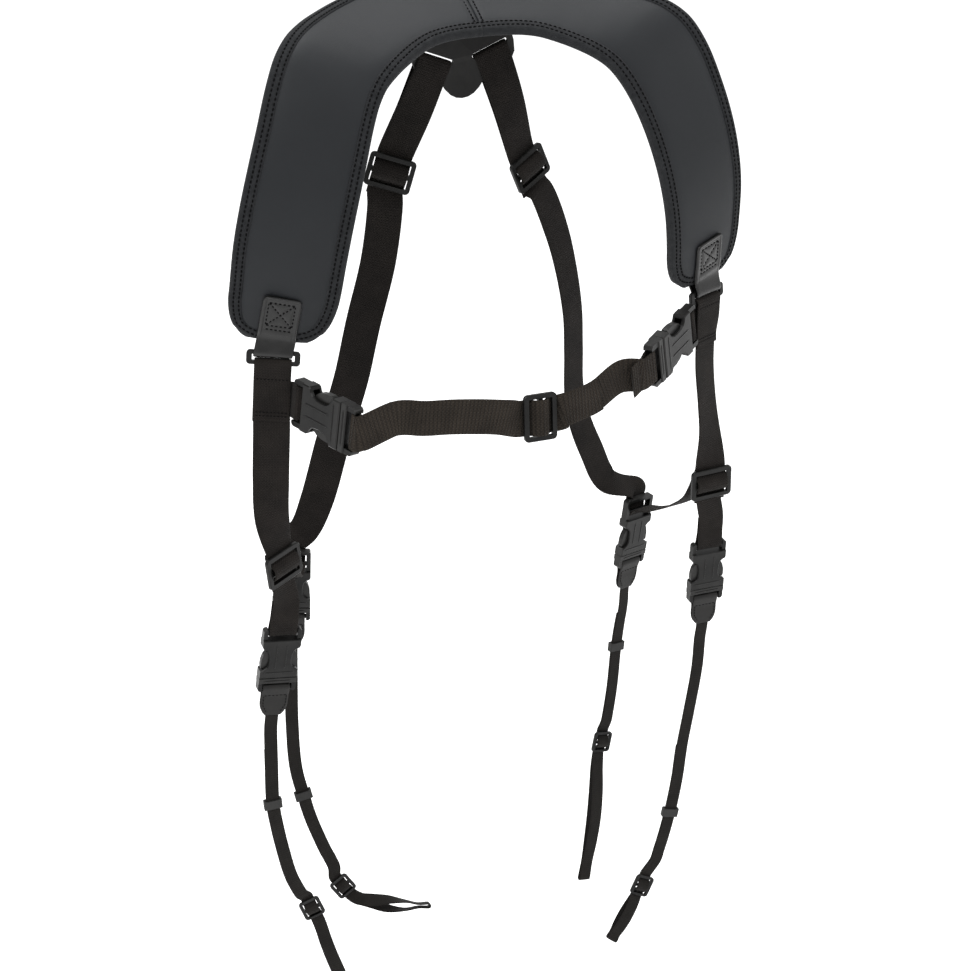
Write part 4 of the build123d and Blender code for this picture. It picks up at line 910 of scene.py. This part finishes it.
for tag, side in (("right", -1), ("left", 1)):
    s, P, Q, N = rim(side)
    pr = tape_profile()
    n = len(pr)
    V, faces = [], []
    for j in range(len(s)):
        pk = 0.10 * math.sin(2 * math.pi * s[j] / 3.5)
        for x, h in pr:
            z = slope(x) * (1 if h > -3 else 1)
            dip = pk if 3.0 < x < 8.6 and h > -1 else 0.0
            V.append(F(P[j] + Q[j] * x + N[j] * (z + h + dip)))
    for j in range(len(s) - 1):
        for q in range(n - 1):
            a = j * n + q
            f = (a, a + 1, a + 1 + n, a + n)
            faces.append(f if side > 0 else f[::-1])
        a = j * n
        f = (a + n - 1, a, a + n, a + 2 * n - 1)
        faces.append(f if side > 0 else f[::-1])
    e = (len(s) - 1) * n
    c0, c1 = tuple(range(n)), tuple(e + q for q in range(n))
    faces += [c0[::-1] if side > 0 else c0, c1 if side > 0 else c1[::-1]]
    ob = make("edge_tape_" + tag, V, faces, "tape")
    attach(ob, "harness")
    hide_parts("edge_binding")
    runs = []
    for x in (3.9, 7.6):
        runs.append(([P[j] + Q[j] * x + N[j] * (slope(x) + 0.16) for j in range(len(s))], N))
    stitches("edge_stitch_" + tag, runs, "harness", length=2.2, gap=1.1, r=0.55)
    runs = [([P[j] + Q[j] * 5.0 + N[j] * (slope(5.0) - 6.9) for j in range(len(s))], -N)]
    stitches("edge_stitch_under_" + tag, runs, "harness", length=2.6, gap=1.1, r=0.38)

    # laminate face and lining, one closed pad per half
    ns, nr = int(LEN / 2.2), 40
    ss = np.concatenate([np.linspace(2.2, 12, 8), np.linspace(14, LEN - 4, ns), LEN - np.array([2.6, 1.4, 0.7, 0.25])])
    rr = np.linspace(-1, 1, nr)
    top, bot = [], []
    for sv in ss:
        a, b, nn = row(sv)
        w = np.linalg.norm(b - a)
        e = 1.6 / w * 2
        for r in rr:
            r2 = r * (1 - e)
            dist = min((1 - abs(r2)) * w / 2, sv + 1.0)
            puff = 0.95 * (1 - math.exp(-max(dist - 8.8, 0) / 4.0))
            sd = LEN - sv
            puff -= 1.0 * math.exp(-(sd / 0.9) ** 2) + 0.55 * math.exp(-((sd - 3.4) / 1.3) ** 2)
            soft = 0.22 * math.sin(sv * 0.031 + 1.3 * side) * math.cos(r * 2.1) + 0.10 * math.sin(sv * 0.083 + r * 3.0)
            soft *= max(0, min(1, (dist - 10) / 10))
            p, nn2 = surf(sv, r2, side, -0.95 + puff + soft)
            top.append(F(p))
            sag = 0.5 * (1 - math.exp(-max(dist - 8.8, 0) / 5.0))
            p, _ = surf(sv, r2, side, -6.15 - sag)
            bot.append(F(p))
    for nm, grid, m, nodes in (("pad_face_", top, "face", "yoke_pad"), ("pad_lining_", bot, "lining", "yoke_lining")):
        # each skin is closed by a second surface 1.4 mm inside it
        other = []
        for i, sv in enumerate(ss):
            for j, r in enumerate(rr):
                a, b, nn = row(sv)
                nn = mirror_x(nn) if side > 0 else nn
                g = grid[i * nr + j]
                other.append(g + (-nn if m == "face" else nn) * 0.0016)
        V = grid + other
        o = len(grid)
        faces = []
        flip = (side > 0) ^ (m == "lining")
        for i in range(len(ss) - 1):
            for j in range(nr - 1):
                a = i * nr + j
                f = (a, a + 1, a + nr + 1, a + nr)
                faces.append(f if not flip else f[::-1])
                g = tuple(o + q for q in f)
                faces.append(g[::-1] if not flip else g)
        border = [j for j in range(nr)] + [i * nr + nr - 1 for i in range(1, len(ss))] + \
                 [(len(ss) - 1) * nr + j for j in range(nr - 2, -1, -1)] + [i * nr for i in range(len(ss) - 2, 0, -1)]
        for q in range(len(border)):
            a, b = border[q], border[(q + 1) % len(border)]
            f = (b, a, a + o, b + o)
            faces.append(f if not flip else f[::-1])
        ob = make(nm + tag, V, faces, m)
        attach(ob, "harness")
        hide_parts(nodes)

# centre-back seam: a row of stitches each side of the join
runs = []
for side in (-1, 1):
    for d in (3.4,):
        pts, nn = [], []
        for r in np.linspace(-0.86, 0.86, 60):
            p, n = surf(LEN - d, r, side, -0.95 + 0.55)
            pts.append(p)
            nn.append(n)
        runs.append((pts, nn))
stitches("seam_stitch", runs, "harness", length=2.3, gap=0.9, r=0.55)

# ==== leather tabs ===============================================================
for tag, side in (("right", -1), ("left", 1)):
    keys, t = RIB["leather_tab_" + tag][0]
    a, b, n = _rows[7]
    m0 = (a + b) / 2
    down = unit((_rows[0][0] + _rows[0][1]) / 2 - m0)
    if side > 0:
        m0, n, down = mirror_x(m0), mirror_x(n), mirror_x(down)
    u = unit(HW["frame_" + tag].U - down * (HW["frame_" + tag].U @ down))
    keys = [(p, q, 26.0) for p, q, w in keys]
    keys = [(keys[0][0] - down * 1.5, keys[0][1], 26.0)] + keys[1:]
    D0, D1, D2, HX = 6.0, 24.0, 27.2, 8.8
    lines = [((D0, -HX), (D0, HX)), ((D0, -HX), (D1, -HX)), ((D0, HX), (D1, HX)), ((D1, -HX), (D1, HX)), ((D2, -HX), (D2, HX)),
             ((D0, -HX), (D1, HX)), ((D0, HX), (D1, -HX)), ((D1, -HX), (D2, -HX)), ((D1, HX), (D2, HX))]

    def dist(d, x):
        best = 99.0
        for (d0, x0), (d1, x1) in lines:
            ax, ay = d1 - d0, x1 - x0
            k = max(0, min(1, ((d - d0) * ax + (x - x0) * ay) / (ax * ax + ay * ay)))
            best = min(best, math.hypot(d - d0 - k * ax, x - x0 - k * ay))
        return best
    sgn = None
    s_, P_, U_, N_, T_, W_ = sampled(keys, 0.8)
    outer = 1 if N_[10] @ n > 0 else -1

    def lift(sv, x, sd, outer=outer):
        if sd != outer:
            return 0.0
        d = sv + 1.5
        if d > 34:
            return 0.0
        z = 0.85 * (1 - math.exp(-dist(d, x) / 1.5)) * (1 if d < D2 + 3 else max(0, 1 - (d - D2 - 3) / 4))
        e = min(13.0 - abs(x), d - 1.0)
        z += 0.22 * math.exp(-((e - 1.0) / 0.6) ** 2) - 0.25 * math.exp(-((e - 2.3) / 0.5) ** 2)
        return z
    ob = tape_mesh("leather_tab_" + tag + "_skin", [(keys, t)], "leather", step=0.6, cols=44, amp=0.0, corner=3.6, extra=lift)
    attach(ob, "harness")
    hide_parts("leather_tab_" + tag)
    runs = []
    top_h = 2.5 + 0.8 + 0.12

    def on(d, x):
        i = int(np.argmin(np.abs(s_ - (d - 1.5))))
        return P_[i] + U_[i] * x + N_[i] * outer * (t / 2 + 0.12), N_[i] * outer
    for (d0, x0), (d1, x1) in lines[:7]:
        pts, nn = zip(*[on(d0 + (d1 - d0) * k, x0 + (x1 - x0) * k) for k in np.linspace(0, 1, 30)])
        runs.append((pts, nn))
    stitches("tab_stitch_" + tag, runs, "harness", length=1.7, gap=1.0, r=0.55)

# ==== webbing ====================================================================
for tag in ("right", "left"):
    ob = tape_mesh("webbing_front_" + tag, RIB["front_strap_" + tag], "main", step=0.5, cols=13)
    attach(ob, "harness")
    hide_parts("front_strap_" + tag)
    ob = tape_mesh("webbing_rear_" + tag, RIB["rear_strap_" + tag], "main", step=0.5, cols=13)
    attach(ob, "harness")
    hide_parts("rear_strap_" + tag)
    ob = tape_mesh("webbing_anchor_" + tag, RIB["sternum_anchor_" + tag], "main", step=0.5, cols=13)
    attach(ob, "harness")
    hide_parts("sternum_anchor_" + tag)

# chest strap: split where it passes the slider's bar; each part is built as its own mesh and baked in place
(k1, t1), (k2, t2) = RIB["sternum_strap"]
s_, P_, U_, N_, T_, W_ = sampled(k1, 0.5)
x_cut = HW["sslider"].o
i_cut = int(np.argmin(np.linalg.norm(P_ - x_cut, axis=1)))
for name, ribs, male, tag in (("webbing_chest_right", [(k1, t1)], "sternum_male_right", "right"), ("webbing_chest_left", [(k2, t2)], "sternum_male_left", "left")):
    ob = tape_mesh(name, ribs, "chest", step=0.55, cols=13, pitch=2.7, amp=0.15)
    hw = HW["sbuck_" + tag]
    st = F(HW["sslider"].at(-16 if tag == "right" else 16))
    en = F(hw.at(68))
    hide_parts("sternum_strap")
    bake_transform(ob)

for tag in ("front_left", "front_right", "rear_left", "rear_right"):
    ob = tape_mesh("webbing_tether_" + tag, RIB["tether_strap_" + tag], "tether", step=0.7, cols=9, pitch=1.4, amp=0.03)
    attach(ob, "tether_" + tag)
    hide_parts("tether_strap_" + tag)
    ob = tape_mesh("keeper_" + tag, RIB["tether_keeper_" + tag], "keeper", step=0.6, cols=15, amp=0.0)
    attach(ob, "tether_" + tag)
    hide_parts("tether_keeper_" + tag)
    hw = HW[{"front_left": "fbuck_left", "front_right": "fbuck_right", "rear_left": "rbuck_left", "rear_right": "rbuck_right"}[tag]]
    runs = []
    for n in (1, -1):
        a = [hw.at(49.8, n * 1.95, x) for x in np.linspace(-8.6, 8.6, 20)]
        runs.append((a, hw.N * n))
        a = [hw.at(v, n * 1.95, sx * (8.4 if v < 58 else 8.4 - (v - 58) * 0.55)) for sx in (-1,) for v in np.linspace(49.8, 64.0, 20)]
        runs.append((a, hw.N * n))
        a = [hw.at(v, n * 1.95, (8.4 if v < 58 else 8.4 - (v - 58) * 0.55)) for v in np.linspace(49.8, 64.0, 20)]
        runs.append((a, hw.N * n))
    stitches("keeper_stitch_" + tag, runs, "tether_" + tag, length=1.7, gap=0.8, r=0.3)

# sewn rows on the front straps where the loops close
for tag in ("right", "left"):
    keys, t = RIB["front_strap_" + tag][0]
    s_, P_, U_, N_, T_, W_ = sampled(keys, 0.5)
    fr = HW["frame_" + tag]
    out_ = 1 if N_[10] @ fr.N > 0 else -1
    runs = []
    for d in (4.0, 6.6, 30.0):
        i = int(np.argmin(np.abs(s_ - d)))
        runs.append(([P_[i] + U_[i] * x + N_[i] * out_ * 0.66 for x in np.linspace(-11, 11, 20)], N_[i] * out_))
    stitches("strap_stitch_" + tag, runs, "harness", length=1.7, gap=0.7, r=0.32)

# ==== moulded ridges =============================================================
def ridges(tag, hw, k, female_body, male_body):
    f = [[(v * k, u * k, 4.2 * k) for v in np.linspace(7.0, 26.0, 12)] for u in (-3.6, 3.6)]
    f += [[(29.3 * k, u * k, 4.2 * k) for u in np.linspace(-11.5, 11.5, 12)]]
    f += [[(v * k, u * k, -4.2 * k) for v in np.linspace(7.0, 26.0, 12)] for u in (-3.6, 3.6)]
    bead("female_ridge_" + tag, f, hw, female_body, 0.55 * k)
    g = [[(36.7 * k, u * k, n * 3.7 * k) for u in np.linspace(-10.5, 10.5, 12)] for n in (1, -1)]
    bead("male_ridge_" + tag, g, hw, male_body, 0.6 * k)


for tag in ("right", "left"):
    ridges("sternum_" + tag, HW["sbuck_" + tag], BUCKLE_LARGE, "harness", "sternum_male_" + tag)
for tag, h in (("front_left", "fbuck_left"), ("front_right", "fbuck_right"), ("rear_left", "rbuck_left"), ("rear_right", "rbuck_right")):
    ridges(tag, HW[h], 1.0, "harness", "male_" + tag)

# ==== carried-over hardware ======================================================
for nm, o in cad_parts.items():
    if o is None or o.type != "MESH":
        continue
    if nm.startswith("tether_ring"):
        m, wd = "rubber", 0.00035
    elif nm == "back_plate":
        m, wd = "plate", 0.0005
    else:
        m, wd = "plastic", 0.00042
    if not o.material_slots:
        o.data.materials.append(MAT[m])
    for sl in o.material_slots:
        sl.link = "OBJECT"
        sl.material = MAT[m]
    bv = o.modifiers.new("edges", "BEVEL")
    bv.width = wd
    bv.segments = 2
    bv.limit_method = "ANGLE"
    bv.angle_limit = math.radians(38)
    bv.use_clamp_overlap = True

# ==== stage ======================================================================
lo, hi = CAD_BOX
zf = lo[2] - 0.02
V = [(-9, -9, zf), (9, -9, zf), (9, 9, zf), (-9, 9, zf)]
me = bpy.data.meshes.new("floor")
me.from_pydata(V, [], [(0, 1, 2, 3)])
me.materials.append(MAT["floor"])
fl = bpy.data.objects.new("floor", me)
bpy.context.scene.collection.objects.link(fl)

w = bpy.data.worlds.new("studio")
bpy.context.scene.world = w
w.use_nodes = True
w.node_tree.nodes["Background"].inputs[0].default_value = (1, 1, 1, 1)
w.node_tree.nodes["Background"].inputs[1].default_value = 0.68


def area(name, loc, target, size, power, color=(1, 1, 1)):
    d = bpy.data.lights.new(name, "AREA")
    d.shape = "RECTANGLE"
    d.size, d.size_y = size
    d.energy = power
    d.color = color
    o = bpy.data.objects.new(name, d)
    o.location = loc
    o.rotation_euler = (Vector(target) - Vector(loc)).to_track_quat("-Z", "Y").to_euler()
    bpy.context.scene.collection.objects.link(o)
    return o


area("key", (-1.5, -1.5, 2.0), (0, 0, -0.3), (1.2, 1.2), 46)
area("fill", (1.9, -1.3, 1.0), (0, 0, -0.3), (1.2, 1.2), 18)
area("top", (0.0, 0.8, 2.1), (0, 0, -0.2), (2.0, 1.0), 46)

# ==== camera =====================================================================
a, e, roll = math.radians(-20.9), math.radians(25.0), math.radians(-0.7)
target = Vector((0.0, -0.0311, -0.3422))
d = Vector((math.sin(a) * math.cos(e), -math.cos(a) * math.cos(e), math.sin(e)))
right = Vector((math.cos(a), math.sin(a), 0))
up = d.cross(right)
rr = right * math.cos(roll) + up * math.sin(roll)
uu = -right * math.sin(roll) + up * math.cos(roll)
cam = bpy.data.cameras.new("camera")
cam.sensor_fit = "HORIZONTAL"
cam.sensor_width = 36.0
cam.lens = 2055 / 970 * 36.0
cam.shift_x = (485 - 486.5) / 970
cam.shift_y = (485 - 485.5) / 970
cam.clip_start = 0.05
co = bpy.data.objects.new("camera", cam)
from mathutils import Matrix
M = Matrix((rr, uu, d)).transposed().to_4x4()
M.translation = target + d * 1.5
co.matrix_world = M
bpy.context.scene.collection.objects.link(co)
bpy.context.scene.camera = co
bpy.context.scene.view_settings.view_transform = "Standard"

bpy.context.view_layer.update()
